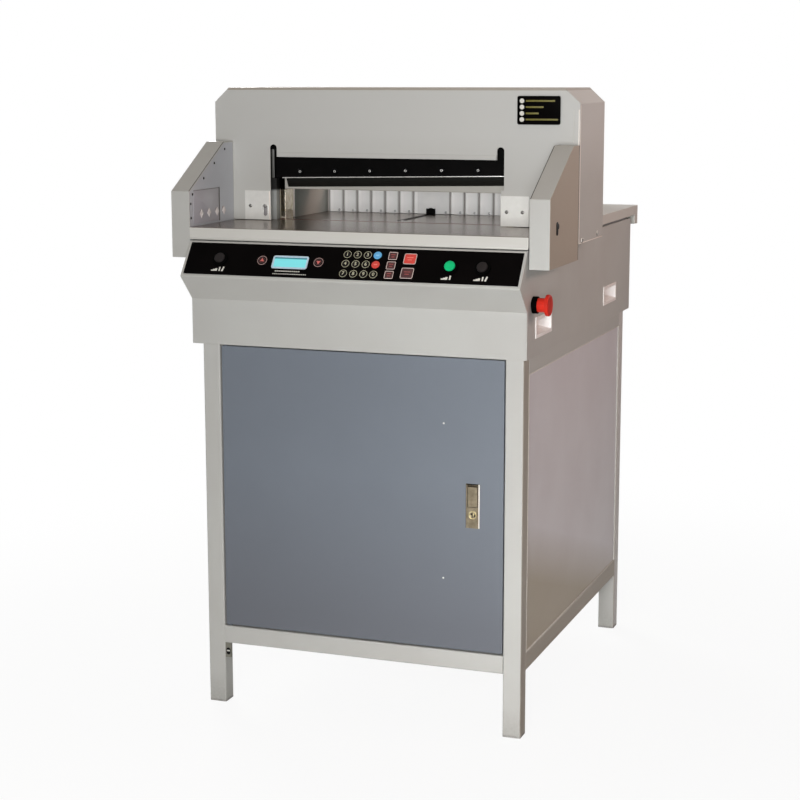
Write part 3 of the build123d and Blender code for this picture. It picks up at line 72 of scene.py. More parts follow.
def add(tree, kind, inputs=None, **settings):
    """Adds a shader node with its settings, and gives its inputs values or links."""
    node = tree.nodes.new("ShaderNode" + kind)
    for name, value in settings.items():
        setattr(node, name, value)
    feed(node, inputs or {})
    return node


def start_material(name, **inputs):
    """A new material with its shader's own values; gives its tree, shader and object coordinates."""
    material = bpy.data.materials.new(name)
    material.use_nodes = True
    tree = material.node_tree
    shader = tree.nodes["Principled BSDF"]
    feed(shader, {key.replace("_", " "): value for key, value in inputs.items()})
    place = add(tree, "TexCoord").outputs["Object"]
    return material, tree, shader, place


def toned(tree, pattern, tone, shade, low=0.35, high=0.65):
    """A colour that goes from a tone to a shade as a pattern's value rises from low to high."""
    share = add(tree, "MapRange", {"Value": pattern, "From Min": low, "From Max": high})
    return add(tree, "Mix", {"Factor": share, "A": paint(tone), "B": paint(shade)}, data_type="RGBA")


def banded(tree, place, colour, bands):
    """Lays further colours over one, each where the distance along a direction passes two values.

    Outward is the distance from the middle to either side.
    """
    for direction, start, end, code in bands:
        if direction == outward:
            across = add(tree, "SeparateXYZ", {"Vector": place}).outputs["X"]
            amount = add(tree, "Math", {0: across}, operation="ABSOLUTE")
        else:
            amount = add(tree, "VectorMath", {0: place, 1: direction}, operation="DOT_PRODUCT")
        share = add(tree, "MapRange", {"Value": amount, "From Min": start * mm, "From Max": end * mm})
        colour = add(tree, "Mix", {"Factor": share, "A": colour, "B": paint(code)}, data_type="RGBA")
    return colour


def cover(tree, shader, colour, relief, strength, depth, dulling=None, rough=()):
    """Gives a shader its colour, a relief of a depth, and a roughness that follows a pattern."""
    bump = add(tree, "Bump", {"Height": relief, "Strength": strength, "Distance": depth * mm})
    feed(shader, {"Base Color": colour, "Normal": bump})
    if rough:
        dull = add(tree, "MapRange", {"Value": dulling, "To Min": rough[0], "To Max": rough[1]})
        feed(shader, {"Roughness": dull})


def powder_coated_steel(name, tone, shade, gloss=0.42, bands=()):
    """Powder coat on sheet steel: even and satin, with an orange peel that breaks up highlights."""
    material, tree, shader, place = start_material(name)
    # Slow drift of the coat's thickness, patches of 150 mm
    drift = add(tree, "TexNoise", {"Vector": place, "Scale": 6.5, "Detail": 3.0})
    # Scuffs and floor dust in the lowest 60 mm
    height = add(tree, "SeparateXYZ", {"Vector": place}).outputs["Z"]
    low = add(tree, "MapRange", {"Value": height, "From Max": 60 * mm, "To Min": 0.5, "To Max": 0.0})
    grain = add(tree, "TexNoise", {"Vector": place, "Scale": 240.0, "Detail": 4.0})
    dust = add(tree, "Math", {0: low, 1: grain}, operation="MULTIPLY")
    dusty = add(tree, "Mix", {"Factor": dust, "A": toned(tree, drift, tone, shade),
                              "B": paint("#6E675E")}, data_type="RGBA")
    # Orange peel of about 2 mm, drawn at 3 mm so that it shows
    peel = add(tree, "TexNoise", {"Vector": place, "Scale": 330.0, "Roughness": 0.45})
    cover(tree, shader, banded(tree, place, dusty, bands), peel, 0.22, 0.12,
          drift, (gloss - 0.05, gloss + 0.07))
    return material


def polished_table_steel(name):
    """Ground and polished steel plate: a warm grey mirror with faint streaks, and paint on its lip."""
    material, tree, shader, place = start_material(name)
    # Grinding streaks across the plate, 0.4 mm apart in truth and 3 mm here
    along = add(tree, "Mapping", {"Vector": place, "Scale": (7.0, 300.0, 7.0)})
    streak = add(tree, "TexNoise", {"Vector": along, "Scale": 1.0, "Detail": 3.0})
    steel = toned(tree, streak, "#7D7067", "#877B72", 0.3, 0.7)
    axes = add(tree, "SeparateXYZ", {"Vector": place})
    high = add(tree, "MapRange", {"Value": axes.outputs["Z"], "From Min": (table_top - 1.0) * mm,
                                  "From Max": (table_top - 0.6) * mm})
    # Bright before the knife and between the side guides, paint outside, and the slot's walls painted
    # dark as their shade
    guide_gap, knife_line = 243.5, -30.0
    slot_half_width, slot_middle, slot_reach = 20.0, 115.0, 315.0
    width = add(tree, "Math", {0: axes.outputs["X"]}, operation="ABSOLUTE")
    between = add(tree, "Math", {0: width, 1: guide_gap * mm}, operation="LESS_THAN")
    front = add(tree, "Math", {0: axes.outputs["Y"], 1: knife_line * mm}, operation="LESS_THAN")
    bright = add(tree, "Math", {0: between, 1: front}, operation="MAXIMUM")
    top = add(tree, "Math", {0: high, 1: bright}, operation="MULTIPLY")
    narrow = add(tree, "Math", {0: width, 1: slot_half_width * mm}, operation="LESS_THAN")
    behind = add(tree, "Math", {0: axes.outputs["Y"], 1: slot_middle * mm, 2: slot_reach * mm},
                 operation="COMPARE")
    slot = add(tree, "Math", {0: narrow, 1: behind}, operation="MULTIPLY")
    edge = add(tree, "Mix", {"Factor": slot, "A": paint("#D0CEC8"), "B": paint("#15130F")},
               data_type="RGBA")
    finish = add(tree, "Mix", {"Factor": top, "A": edge, "B": steel}, data_type="RGBA")
    cover(tree, shader, finish, streak, 0.1, 0.02)
    dull = add(tree, "MapRange", {"Value": top, "To Min": 0.42, "To Max": 0.24})
    varied = add(tree, "MapRange", {"Value": streak, "To Min": -0.03, "To Max": 0.05})
    rough = add(tree, "Math", {0: dull, 1: varied}, operation="ADD")
    feed(shader, {"Metallic": top, "Roughness": rough})
    return material


def ground_steel(name, tone, shade, scale=(700.0, 12.0, 12.0), rough=0.3):
    """Bare ground or turned steel: bright metal with fine tool lines along one direction."""
    material, tree, shader, place = start_material(name, Metallic=1.0)
    along = add(tree, "Mapping", {"Vector": place, "Scale": scale})
    line = add(tree, "TexNoise", {"Vector": along, "Scale": 1.0, "Detail": 4.0})
    cover(tree, shader, toned(tree, line, tone, shade, 0.3, 0.7), line, 0.25, 0.04,
          line, (rough - 0.06, rough + 0.1))
    return material


def anodised_aluminium(name):
    """Clear anodised aluminium, almost white; each groove is painted dark on its left and light on its
    right, as painted shade and painted highlight.
    """
    material, tree, shader, place = start_material(name, Metallic=0.02)
    grain = add(tree, "TexNoise", {"Vector": place, "Scale": 900.0, "Detail": 3.0})
    cloud = add(tree, "TexNoise", {"Vector": place, "Scale": 22.0})
    colour = toned(tree, cloud, "#EBEBEA", "#E2E3E3")
    # Grooves at an even pitch, from the wide middle pad's two edges outwards
    pitch, left_start, right_start, comb_rear = 31.0, 356.0, 276.0, 50.5
    pad_shift, pad_edge, pad_rim = 2.5, 33.5, 34.0
    axes = add(tree, "SeparateXYZ", {"Vector": place})
    across = axes.outputs["X"]
    ahead = add(tree, "Math", {0: axes.outputs["Y"], 1: comb_rear * mm}, operation="LESS_THAN")
    right = add(tree, "Math", {0: across, 1: 0.0}, operation="GREATER_THAN")
    shift = add(tree, "MapRange", {"Value": right, "To Min": left_start * mm,
                                   "To Max": right_start * mm})
    counted = add(tree, "Math", {0: across, 1: shift}, operation="ADD")
    step = add(tree, "Math", {0: counted, 1: pitch * mm}, operation="MODULO")
    part = add(tree, "Math", {0: step, 1: pitch * mm}, operation="DIVIDE")
    # Across each groove: painted shade on the left, then a painted highlight on the right
    ramp = add(tree, "ValToRGB", {"Fac": part})
    stops = ramp.color_ramp.elements
    stops[0].color = paint("#A8A6A4")
    stops[1].position, stops[1].color = 0.04, paint("#C9C8C6")
    for position, code in ((0.08, "#FFFFFF"), (0.27, "#FBFBFA"), (0.34, "#F6F6F6"), (0.84, "#ECEDED"),
                           (0.93, "#BDBCBB"), (0.97, "#8E8C8A")):
        stops.new(position).color = paint(code)
    offset = add(tree, "Math", {0: across, 1: pad_shift * mm}, operation="ADD")
    middle = add(tree, "Math", {0: offset}, operation="ABSOLUTE")
    wide = add(tree, "MapRange", {"Value": middle, "From Min": pad_edge * mm, "From Max": pad_rim * mm})
    toothed = add(tree, "Math", {0: wide, 1: ahead}, operation="MULTIPLY")
    face = add(tree, "Mix", {"Factor": toothed, "A": colour, "B": ramp}, data_type="RGBA")
    cover(tree, shader, face, grain, 0.2, 0.03, grain, (0.34, 0.52))
    return material


def black_oxide_steel(name):
    """Chemically blackened steel: near black and oily, with faint brown where the finish is thin."""
    material, tree, shader, place = start_material(name, Specular_IOR_Level=0.04)
    patch = add(tree, "TexNoise", {"Vector": place, "Scale": 26.0, "Detail": 5.0, "Roughness": 0.6})
    grain = add(tree, "TexNoise", {"Vector": place, "Scale": 700.0})
    cover(tree, shader, toned(tree, patch, "#030303", "#080707", 0.35, 0.7), grain, 0.2, 0.05,
          patch, (0.34, 0.58))
    return material


def painted_casting(name, tone, shade, bands=()):
    """Grey iron casting under machine paint: a sandy skin of 3 mm lumps with a dull gloss."""
    material, tree, shader, place = start_material(name)
    skin = add(tree, "TexNoise", {"Vector": place, "Scale": 320.0, "Detail": 4.0, "Roughness": 0.65})
    patch = add(tree, "TexNoise", {"Vector": place, "Scale": 14.0, "Detail": 3.0})
    colour = banded(tree, place, toned(tree, patch, tone, shade), bands)
    cover(tree, shader, colour, skin, 0.5, 0.25, skin, (0.45, 0.7))
    return material


def plated_zinc(name, tone, shade, rough=0.28, metal=1.0, bands=()):
    """Die-cast or pressed metal under a plated coat: soft bright reflections, cloudy from handling."""
    material, tree, shader, place = start_material(name, Metallic=metal)
    cloud = add(tree, "TexNoise", {"Vector": place, "Scale": 75.0, "Detail": 5.0, "Roughness": 0.6})
    pits = add(tree, "TexNoise", {"Vector": place, "Scale": 1100.0})
    colour = banded(tree, place, toned(tree, cloud, tone, shade), bands)
    cover(tree, shader, colour, pits, 0.15, 0.03, cloud, (rough - 0.08, rough + 0.14))
    return material


def moulded_plastic(name, tone, shade, rough=0.38, shine=0.12):
    """Injection-moulded ABS: saturated colour with a fine spark-eroded grain and a soft sheen."""
    material, tree, shader, place = start_material(name, IOR=1.5, Specular_IOR_Level=shine)
    cloud = add(tree, "TexNoise", {"Vector": place, "Scale": 60.0})
    # Mould grain of 0.3 mm, drawn at 0.8 mm
    grain = add(tree, "TexVoronoi", {"Vector": place, "Scale": 1200.0})
    cover(tree, shader, toned(tree, cloud, tone, shade), grain, 0.2, 0.04,
          grain, (rough - 0.05, rough + 0.1))
    return material


def black_polyester_film(name):
    """The panel's front film: black polyester, whose fine velvet grain greys its highlights."""
    material, tree, shader, place = start_material(name, IOR=1.3, Specular_IOR_Level=0.02)
    grain = add(tree, "TexNoise", {"Vector": place, "Scale": 1000.0})
    wipe = add(tree, "TexNoise", {"Vector": place, "Scale": 17.0, "Detail": 3.0})
    cover(tree, shader, toned(tree, wipe, "#070606", "#0B0909", 0.3, 0.7), grain, 0.15, 0.03,
          wipe, (0.36, 0.5))
    return material


def lit_display(name):
    """Backlit liquid crystal behind a window: cyan glow with faint cells, darker at its top edge."""
    material, tree, shader, place = start_material(name, Roughness=0.12, IOR=1.49,
                                                   Emission_Strength=0.3)
    height = add(tree, "SeparateXYZ", {"Vector": place}).outputs["Z"]
    # The window is open up to 889.4 mm above the floor, and its top 2 mm lie in the bezel's shade
    low, high = 887.2, 888.0
    shade = add(tree, "MapRange", {"Value": height, "From Min": low * mm, "From Max": high * mm})
    # Rows of cells, 0.66 mm apart in truth and 1.3 mm here
    cells = add(tree, "TexVoronoi", {"Vector": place, "Scale": 770.0, "Randomness": 0.0},
                distance="CHEBYCHEV")
    edge = add(tree, "MapRange", {"Value": cells, "From Min": 0.4, "From Max": 0.5, "To Max": 0.18})
    glow = add(tree, "Mix", {"Factor": edge, "A": paint("#78DDE4"), "B": paint("#62BCC8")},
               data_type="RGBA")
    colour = add(tree, "Mix", {"Factor": shade, "A": glow, "B": paint("#2E7F8C")}, data_type="RGBA")
    feed(shader, {"Base Color": colour, "Emission Color": colour})
    return material


def screen_ink(name, tone, shade):
    """Screen-printed ink on film: flat, slightly chalky, with pinholes that thin its edges."""
    material, tree, shader, place = start_material(name, Roughness=0.55, IOR=1.5)
    thin = add(tree, "TexNoise", {"Vector": place, "Scale": 620.0, "Detail": 3.0})
    cover(tree, shader, toned(tree, thin, tone, shade, 0.45, 0.75), thin, 0.1, 0.02)
    return material


def clear_polycarbonate(name):
    """Clear polycarbonate lens with a smoky tint, as a light curtain's emitters have."""
    material, tree, shader, place = start_material(name, IOR=1.58, Transmission_Weight=0.35)
    swirl = add(tree, "TexNoise", {"Vector": place, "Scale": 180.0, "Detail": 1.0})
    colour = add(tree, "Mix", {"Factor": swirl, "A": paint("#D9CFCF"), "B": paint("#B9A9AA")},
                 data_type="RGBA")
    dull = add(tree, "MapRange", {"Value": swirl, "To Min": 0.06, "To Max": 0.16})
    feed(shader, {"Base Color": colour, "Roughness": dull})
    return material


def moulded_rubber(name, tone, shade):
    """Moulded rubber: matt, with a dusty bloom."""
    material, tree, shader, place = start_material(name, Roughness=0.8, Specular_IOR_Level=0.3)
    bloom = add(tree, "TexNoise", {"Vector": place, "Scale": 130.0, "Detail": 5.0})
    cover(tree, shader, toned(tree, bloom, tone, shade, 0.4, 0.7), bloom, 0.3, 0.1)
    return material


def circuit_board(name):
    """Glass-fibre board under green solder mask: glossy, with paler copper runs beneath."""
    material, tree, shader, place = start_material(name, Roughness=0.25, IOR=1.55)
    # Copper runs on a 2.5 mm grid
    runs = add(tree, "TexBrick", {"Vector": place, "Scale": 200.0, "Mortar Size": 0.06,
                                  "Color1": paint("#14502E"), "Color2": paint("#175A35"),
                                  "Mortar": paint("#2E7A4B")})
    feed(shader, {"Base Color": runs})
    return material


outward = "outward"
rightward, rearward, upward = (1.0, 0.0, 0.0), (0.0, 1.0, 0.0), (0.0, 0.0, 1.0)
grey_tones = ("#BFBFBB", "#BBBAB6")
body_coat = powder_coated_steel("light_grey_powder_coat", *grey_tones)
# The head's coat is painted lighter from 1015 mm up to 1110 mm as painted light, and darker above
# 1192.8 mm as painted shade of the fold into the roof
head_coat = powder_coated_steel("light_grey_powder_coat_head", *grey_tones,
                                bands=((upward, 1015.0, 1110.0, "#C8C8C5"),
                                       (upward, 1192.2, 1192.8, "#A9A197")))
# The tubes' right faces are painted darker as painted shade, and their faces past 358 mm to the rear
# lighter as painted light
stand_coat = powder_coated_steel("light_grey_powder_coat_tubes", *grey_tones,
                                 bands=((rightward, 318.6, 319.4, "#A49D92"),
                                        ((0.02, 1.0, 0.0), 358.2, 358.4, "#D2D0CE")))
# The rails' right faces below 640 mm are painted darker as painted shade
rail_coat = powder_coated_steel("light_grey_powder_coat_rails", *grey_tones,
                                bands=((rightward, 318.6, 319.4, "#A9A195"),
                                       (upward, 640.0, 660.0, "#BFBFBB"),
                                       (upward, 122.0, 121.6, "#77766C")))
# The side sheets' lighter, pinker tone is painted light, their lower part on the right is painted
# shade, and the rear sheet's face is grey again
panel_coat = powder_coated_steel("light_grey_powder_coat_panels", "#E2E0E5", "#DDDADF", gloss=0.3,
                                 bands=(((-5.0, 0.3, 1.0), -1285.0, -1395.0, "#B0A590"),
                                        (rearward, 378.0, 380.5, "#C3C2BD")))
# The right guard's outer face is painted darker and warmer as painted shade
guard_coat = powder_coated_steel("light_grey_powder_coat_guards", *grey_tones,
                                 bands=((rightward, 370.0, 370.4, "#AFA394"),))
inner_coat = powder_coated_steel("cool_grey_powder_coat", "#BBBEC5", "#B7BAC2", gloss=0.32)
# The door is painted darker towards its foot as painted shade
door_coat = powder_coated_steel("blue_grey_powder_coat", "#757C86", "#727983", gloss=0.36,
                                bands=((upward, 480.0, 200.0, "#686C74"),))
clamp_coat = powder_coated_steel("cream_machine_enamel", "#BAB8B1", "#B4B2AB", gloss=0.3)
# The guides are painted darker towards the front as painted shade
guide_coat = powder_coated_steel("grey_green_enamel", "#A8AAA5", "#A5A7A1", gloss=0.75,
                                 bands=((rearward, 20.0, -125.0, "#6C706A"),))
curtain_coat = powder_coated_steel("mauve_grey_cover_coat", "#B2B0B7", "#AEACB3", gloss=0.3)
lip_coat = powder_coated_steel("lip_paint", "#D0CEC8", "#CDCBC5")
# Painted highlights, laid as thin strips along edges and on screws
pale_highlight_coat = powder_coated_steel("pale_painted_highlight", "#D2D2CD", "#CDCDC8", gloss=0.3)
warm_highlight_coat = powder_coated_steel("warm_painted_highlight", "#F7F0E8", "#F1EAE2", gloss=0.3)
table_steel = polished_table_steel("polished_table_steel")
dull_steel = ground_steel("dull_guide_steel", "#6B6B69", "#5A5A58", (400.0, 400.0, 40.0), rough=0.5)
turned_steel = ground_steel("turned_steel", "#B9B7B2", "#8F8D89", (40.0, 40.0, 900.0))
blade_steel = ground_steel("ground_blade_steel", "#3A3D3C", "#2E3130", (60.0, 900.0, 900.0), rough=0.34)
# Black above 999 mm is painted shade inside the head, and the gold tint painted reflection
chromed_steel = plated_zinc("hard_chromed_steel", "#C9C2B4", "#A99C82", rough=0.12,
                            bands=((upward, 996.0, 999.0, "#0A0909"),))
# Bright steel, also laid as painted glints and painted highlights
bright_steel_and_glints = plated_zinc("bright_steel_and_painted_glints", "#E8E7E4", "#D6D5D1", rough=0.25, metal=0.4)
bolt_steel = plated_zinc("blackened_bolts", "#1A1A1B", "#111112", rough=0.2)
zinc_steel = plated_zinc("zinc_plated_steel", "#C9CACB", "#A9ABAD")
# Screws are painted darker from 360 mm towards the middle and grey within 325 mm as painted shade
screw_zinc = plated_zinc("zinc_plated_screws", "#DEDCD8", "#C9C7C3", rough=0.2,
                         bands=((outward, 360.0, 340.0, "#2B2927"), (outward, 330.0, 325.0, "#8E8D8A")))
lock_zinc = plated_zinc("brass_tinted_zinc", "#958A75", "#766C5A", rough=0.38)
# Pale brass, laid as painted glints on the key cylinder
brass_glints = plated_zinc("brass_glints", "#F3E6B4", "#D9C27E", rough=0.22, metal=0.5)
cover_zinc = plated_zinc("passivated_zinc_plate", "#E4E4E0", "#DEDEDA", rough=0.4, metal=0.1)
gauge_alloy = anodised_aluminium("anodised_aluminium")
black_steel = black_oxide_steel("black_oxide_steel")
cast_iron = painted_casting("grey_painted_iron", "#8B8F90", "#7B7F80")
# Black above 999 mm is painted shade inside the head
shaded_iron = painted_casting("grey_iron_painted_shade_above", "#A5A7A5", "#999B99",
                            bands=((upward, 994.0, 999.0, "#0D0C0B"),))
motor_coat = painted_casting("charcoal_motor_paint", "#3B3F43", "#303438")
grip_plastic = moulded_plastic("white_grip_abs", "#FFFDFC", "#FAF6F4", rough=0.3)
# Black ABS, and the black of pieces that are painted shade
dark_abs_and_shade = moulded_plastic("dark_abs_and_painted_shade", "#090809", "#070607")
collar_plastic = moulded_plastic("matt_black_collar_abs", "#040404", "#030303", rough=0.7, shine=0.02)
cap_plastic = moulded_plastic("charcoal_cap_abs", "#231F1F", "#1E1A1A", rough=0.45)
green_plastic = moulded_plastic("green_cap_abs", "#14CB81", "#12BD78", rough=0.3)
red_plastic = moulded_plastic("red_mushroom_abs", "#D93224", "#C92C1F", rough=0.3)
stick_plastic = moulded_plastic("pink_stick_pvc", "#8F6A62", "#86625B", rough=0.45)
pearl_plastic = moulded_plastic("pearl_lens_acrylic", "#F6F2F1", "#E6DEDD", rough=0.15)
plug_rubber = moulded_rubber("grey_plug_rubber", "#A7A5A1", "#8E8C88")
belt_rubber = moulded_rubber("black_belt_rubber", "#1C1C1C", "#2A2A29")
# Dark seams, and the painted shadow lines beside the side sheets and along the guards
dark_seam_and_shadow = moulded_rubber("grey_seam_and_painted_shadow", "#5E5C58", "#6A6762")
# A pale seam, and the painted shade in the left plate's oval
pale_seam_and_shade = moulded_rubber("pale_seam_and_painted_shade", "#8D8B8C", "#969495")
white_sealant = moulded_rubber("pale_sealant", "#DEDAD2", "#CFCAC2")
panel_film = black_polyester_film("black_polyester_film")
display = lit_display("lit_display")
clear_lens = clear_polycarbonate("smoky_polycarbonate")
board = circuit_board("solder_masked_board")
inks = {name: screen_ink(name + "_screen_ink", tone, shade) for name, tone, shade in (
    ("white", "#E9E7E0", "#C9C6BC"), ("cream", "#DEDBBF", "#B5B187"),
    ("pink", "#E9D8D2", "#D3B9B3"), ("rosy", "#CDAFAA", "#B08D88"),
    ("pale_blue", "#D6E7F2", "#A9C6DA"), ("dark_red", "#3C1012", "#2C0B0D"),
    ("dim_red", "#A04A44", "#7C3430"), ("rose", "#D9706A", "#BF504C"),
    ("bright_red", "#D9443A", "#C63A31"), ("light_red", "#EE8A7E", "#E06F63"),
    ("sky_blue", "#67B4E6", "#54A2D8"), ("light_sky", "#A5D8F4", "#8CC8EC"),
    ("olive", "#77702F", "#4E4920"),
)}

# Finish and edge rounding of every CAD node, by the nodes' names
finishes = (
    (stand_coat, 0.9, "stand_legs"), (rail_coat, 0.9, "stand_rails"), (plug_rubber, 0.5, "leg_plugs"),
    (panel_coat, 0.4, "stand_panels"), (body_coat, 0.4, "bottom_shelf front_apron rear_body_panel"),
    (door_coat, 0.6, "cabinet_door"), (lock_zinc, 0.3, "door_lock_case lock_cylinder"),
    (lock_zinc, 0.4, "lock_paddle"), (body_coat, 0.6, "bed_plate"),
    (cast_iron, 1.2, "bed_frames cross_beam"), (body_coat, 0.5, "body_side_panels head_back_cover"),
    (grip_plastic, 0.5, "side_grip_cups"), (zinc_steel, 0.6, "power_supply"),
    (table_steel, 0.8, "front_table rear_table"), (stick_plastic, 0.3, "cutting_stick"),
    (guide_coat, 0.8, "side_guides"), (panel_film, 0.2, "control_overlay"),
    (display, 0.15, "lcd_module"), (board, 0.15, "control_board"),
    (collar_plastic, 0.3, "button_collars"), (cap_plastic, 0.3, "cut_button_left cut_button_right"),
    (green_plastic, 0.3, "clamp_button"), (red_plastic, 0.4, "estop_button"),
    (dark_abs_and_shade, 0.4, "power_inlet"), (dark_abs_and_shade, 0.3, "main_switch_rocker"),
    (head_coat, 0.5, "head_hood head_front_cover"),
    (guard_coat, 0.6, "right_wing_guard left_wing_guard"), (inner_coat, 0.4, "wing_inner_plates"),
    (clear_lens, 0.3, "light_curtain_lenses"), (cover_zinc, 0.3, "cheek_cover_plates"),
    (screw_zinc, 0.15, "cover_screws"), (shaded_iron, 1.0, "side_cheeks"),
    (chromed_steel, 0.5, "clamp_guide_posts"),
    (turned_steel, 0.4, "knife_block knife_screw left_clamp_screw "
                        "right_clamp_screw clamp_motor_pulley gauge_rail"),
    (black_steel, 0.5, "knife_carrier"), (blade_steel, 0.1, "knife_blade"),
    (bolt_steel, 0.2, "knife_bolts"), (turned_steel, 0.5, "knife_nut"),
    (motor_coat, 0.8, "knife_gearmotor clamp_motor gauge_motor"), (clamp_coat, 0.8, "clamp_bar"),
    (belt_rubber, 0.3, "clamp_belt"), (gauge_alloy, 0.5, "backgauge"),
    (black_steel, 0.4, "gauge_carriage"), (turned_steel, 0.3, "gauge_screw"),
)

# Nodes with holed flat faces, which stay in triangles so that the rounding doesn't close their holes
kept_in_triangles = ("side_grip_cups", "door_lock_case")


def alone(piece):
    """Leaves this piece as the only one selected, and active."""
    bpy.ops.object.select_all(action="DESELECT")
    piece.select_set(True)
    bpy.context.view_layer.objects.active = piece


def dress(name, material, edge):
    """Gives a CAD node its finish, and rounds its edges with modifiers that leave its mesh alone."""
    piece = nodes[name]
    alone(piece)
    bpy.ops.object.shade_smooth()
    piece.data.materials.clear()
    piece.data.materials.append(material)
    weld = piece.modifiers.new("weld", "WELD")
    weld.merge_threshold = 0.002 * mm
    if name not in kept_in_triangles:
        flatten = piece.modifiers.new("flatten", "DECIMATE")
        flatten.decimate_type = "DISSOLVE"
        flatten.angle_limit = math.radians(0.6)
    rounding = piece.modifiers.new("rounding", "BEVEL")
    rounding.width = edge * mm
    rounding.segments = 2
    rounding.limit_method = "ANGLE"
    rounding.angle_limit = math.radians(38)
    rounding.miter_outer = "MITER_ARC"
    even = piece.modifiers.new("even_normals", "WEIGHTED_NORMAL")
    even.weight = 100


for material, edge, names in finishes:
    for name in names.split():
        dress(name, material, edge)


def moved(x=0.0, y=0.0, z=0.0):
    """The place of a piece that is moved and not turned."""
    return Matrix.Translation(Vector((x, y, z)) * mm)


def turned(degrees, axis):
    """The place of a piece that is turned about an axis of the machine."""
    return Matrix.Rotation(math.radians(degrees), 4, axis)


def upright(y=0.0, x=0.0, facing=0.0):
    """Stands a flat piece up, its own Y upwards; 0 degrees faces the operator, and 90 the right."""
    return moved(x, y) @ turned(facing, "Z") @ turned(90, "X")


def set_down(piece, place=None):
    """Moves a piece that was modelled flat to its place, and leaves its object at the origin."""
    alone(piece)
    if place is not None:
        piece.matrix_world = place @ piece.matrix_world
    bpy.ops.object.transform_apply(location=True, rotation=True, scale=True)


def joined(pieces):
    """One piece from several."""
    alone(pieces[0])
    for piece in pieces:
        piece.select_set(True)
    if len(pieces) > 1:
        bpy.ops.object.join()
    return bpy.context.object


def lay(pieces, place, name, material, body="root"):
    """Joins flat pieces, moves them to their place and lets them ride on their body."""
    piece = joined(pieces)
    set_down(piece, place)
    piece.name = name
    piece.data.name = name
    piece.data.materials.clear()
    piece.data.materials.append(material)
    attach(piece, body)


def soften(piece, width, segments, sharp, smooth):
    """Rounds a piece's edges past one angle in degrees, and smooths those below another."""
    soft = piece.modifiers.new("edge", "BEVEL")
    soft.width = width * mm
    soft.segments = segments
    soft.limit_method = "ANGLE"
    soft.angle_limit = math.radians(sharp)
    alone(piece)
    for modifier in list(piece.modifiers):
        bpy.ops.object.modifier_apply(modifier=modifier.name)
    bpy.ops.object.shade_smooth_by_angle(angle=math.radians(smooth))


def raised(piece, line, wall, edge):
    """Makes a flat face a plate with rounded upper edges, or with a line width its outline alone."""
    bpy.ops.mesh.select_all(action="SELECT")
    if line:
        bpy.ops.mesh.inset(thickness=line * mm)
        bpy.ops.mesh.delete(type="FACE")
    bpy.ops.object.mode_set(mode="OBJECT")
    set_down(piece)
    solid = piece.modifiers.new("wall", "SOLIDIFY")
    solid.thickness = wall * mm
    solid.offset = 1.0
    soften(piece, edge, 2, 50, 35)
    return piece


def closed(piece):
    """Turns the faces of a shape in edit mode outwards, and leaves edit mode."""
    bpy.ops.mesh.select_all(action="SELECT")
    bpy.ops.mesh.normals_make_consistent(inside=False)
    bpy.ops.object.mode_set(mode="OBJECT")
    set_down(piece)
    return piece


def plate(x, y, width, height, corner, wall, edge, line=0.0, base=0.0):
    """A flat plate with rounded corners from a base height, or with a line width its outline alone."""
    bpy.ops.object.select_all(action="DESELECT")
    bpy.ops.mesh.primitive_plane_add(size=1.0, location=(x * mm, y * mm, base * mm))
    piece = bpy.context.object
    piece.scale = (width * mm, height * mm, 1.0)
    bpy.ops.object.transform_apply(location=False, rotation=False, scale=True)
    bpy.ops.object.mode_set(mode="EDIT")
    bpy.ops.mesh.select_all(action="SELECT")
    bpy.ops.mesh.bevel(offset=corner * mm, segments=6, affect="VERTICES")
    return raised(piece, line, wall, edge)


def disc(x, y, radius, base, count):
    """A flat disc, left in edit mode with all of it selected."""
    bpy.ops.object.select_all(action="DESELECT")
    bpy.ops.mesh.primitive_circle_add(vertices=count, radius=radius * mm, fill_type="NGON",
                                      location=(x * mm, y * mm, base * mm))
    bpy.ops.object.mode_set(mode="EDIT")
    bpy.ops.mesh.select_all(action="SELECT")
    return bpy.context.object


def ring(x, y, radius, line, wall, edge, base=0.0, count=40):
    """A flat ring, or with no line width a disc, with rounded upper edges."""
    return raised(disc(x, y, radius, base, count), line, wall, edge)


def dome(x, y, radius, rise, base=0.0, count=32):
    """A shallow embossed dome, raised from a disc ring by ring."""
    piece = disc(x, y, radius, base, count)
    steps, wall_share = 4, 0.3
    bpy.ops.mesh.extrude_region_move(TRANSFORM_OT_translate={"value": (0, 0, rise * wall_share * mm)})
    for step in range(1, steps):
        bpy.ops.mesh.inset(thickness=radius * mm / (steps + 1))
        lift = rise * (1 - wall_share) * (1 - step / steps) / (steps - 1) * 2
        bpy.ops.transform.translate(value=(0, 0, lift * mm))
    closed(piece)
    bpy.ops.object.shade_smooth_by_angle(angle=math.radians(40))
    return piece


def digit(sign, x, y, size, wall, base):
    """A printed digit, made a mesh before it is placed."""
    bpy.ops.object.select_all(action="DESELECT")
    bpy.ops.object.text_add(location=(0, 0, 0))
    text = bpy.context.object.data
    text.body = sign
    text.size = size * mm
    text.align_x = "CENTER"
    text.align_y = "CENTER"
    text.resolution_u = 4
    text.offset = 0.1 * mm
    bpy.ops.object.convert(target="MESH")
    piece = bpy.context.object
    bpy.ops.object.mode_set(mode="EDIT")
    bpy.ops.mesh.select_all(action="SELECT")
    bpy.ops.mesh.remove_doubles(threshold=0.001 * mm)
    bpy.ops.mesh.extrude_region_move(TRANSFORM_OT_translate={"value": (0, 0, wall * mm)})
    closed(piece)
    set_down(piece, moved(x, y, base))
    return piece


def copies(piece, shifts):
    """The piece and a copy with its own mesh at each further shift."""
    made = [piece]
    for shift in shifts:
        twin = piece.copy()
        twin.data = piece.data.copy()
        bpy.context.collection.objects.link(twin)
        twin.location = Vector(shift).to_3d() * mm
        set_down(twin)
        made.append(twin)
    return made


# The panel's pieces are modelled flat, X across and Y up the slope, and then laid on it
on_slope = moved(*slope_head) @ Matrix.Rotation(slope_angle, 4, "X")


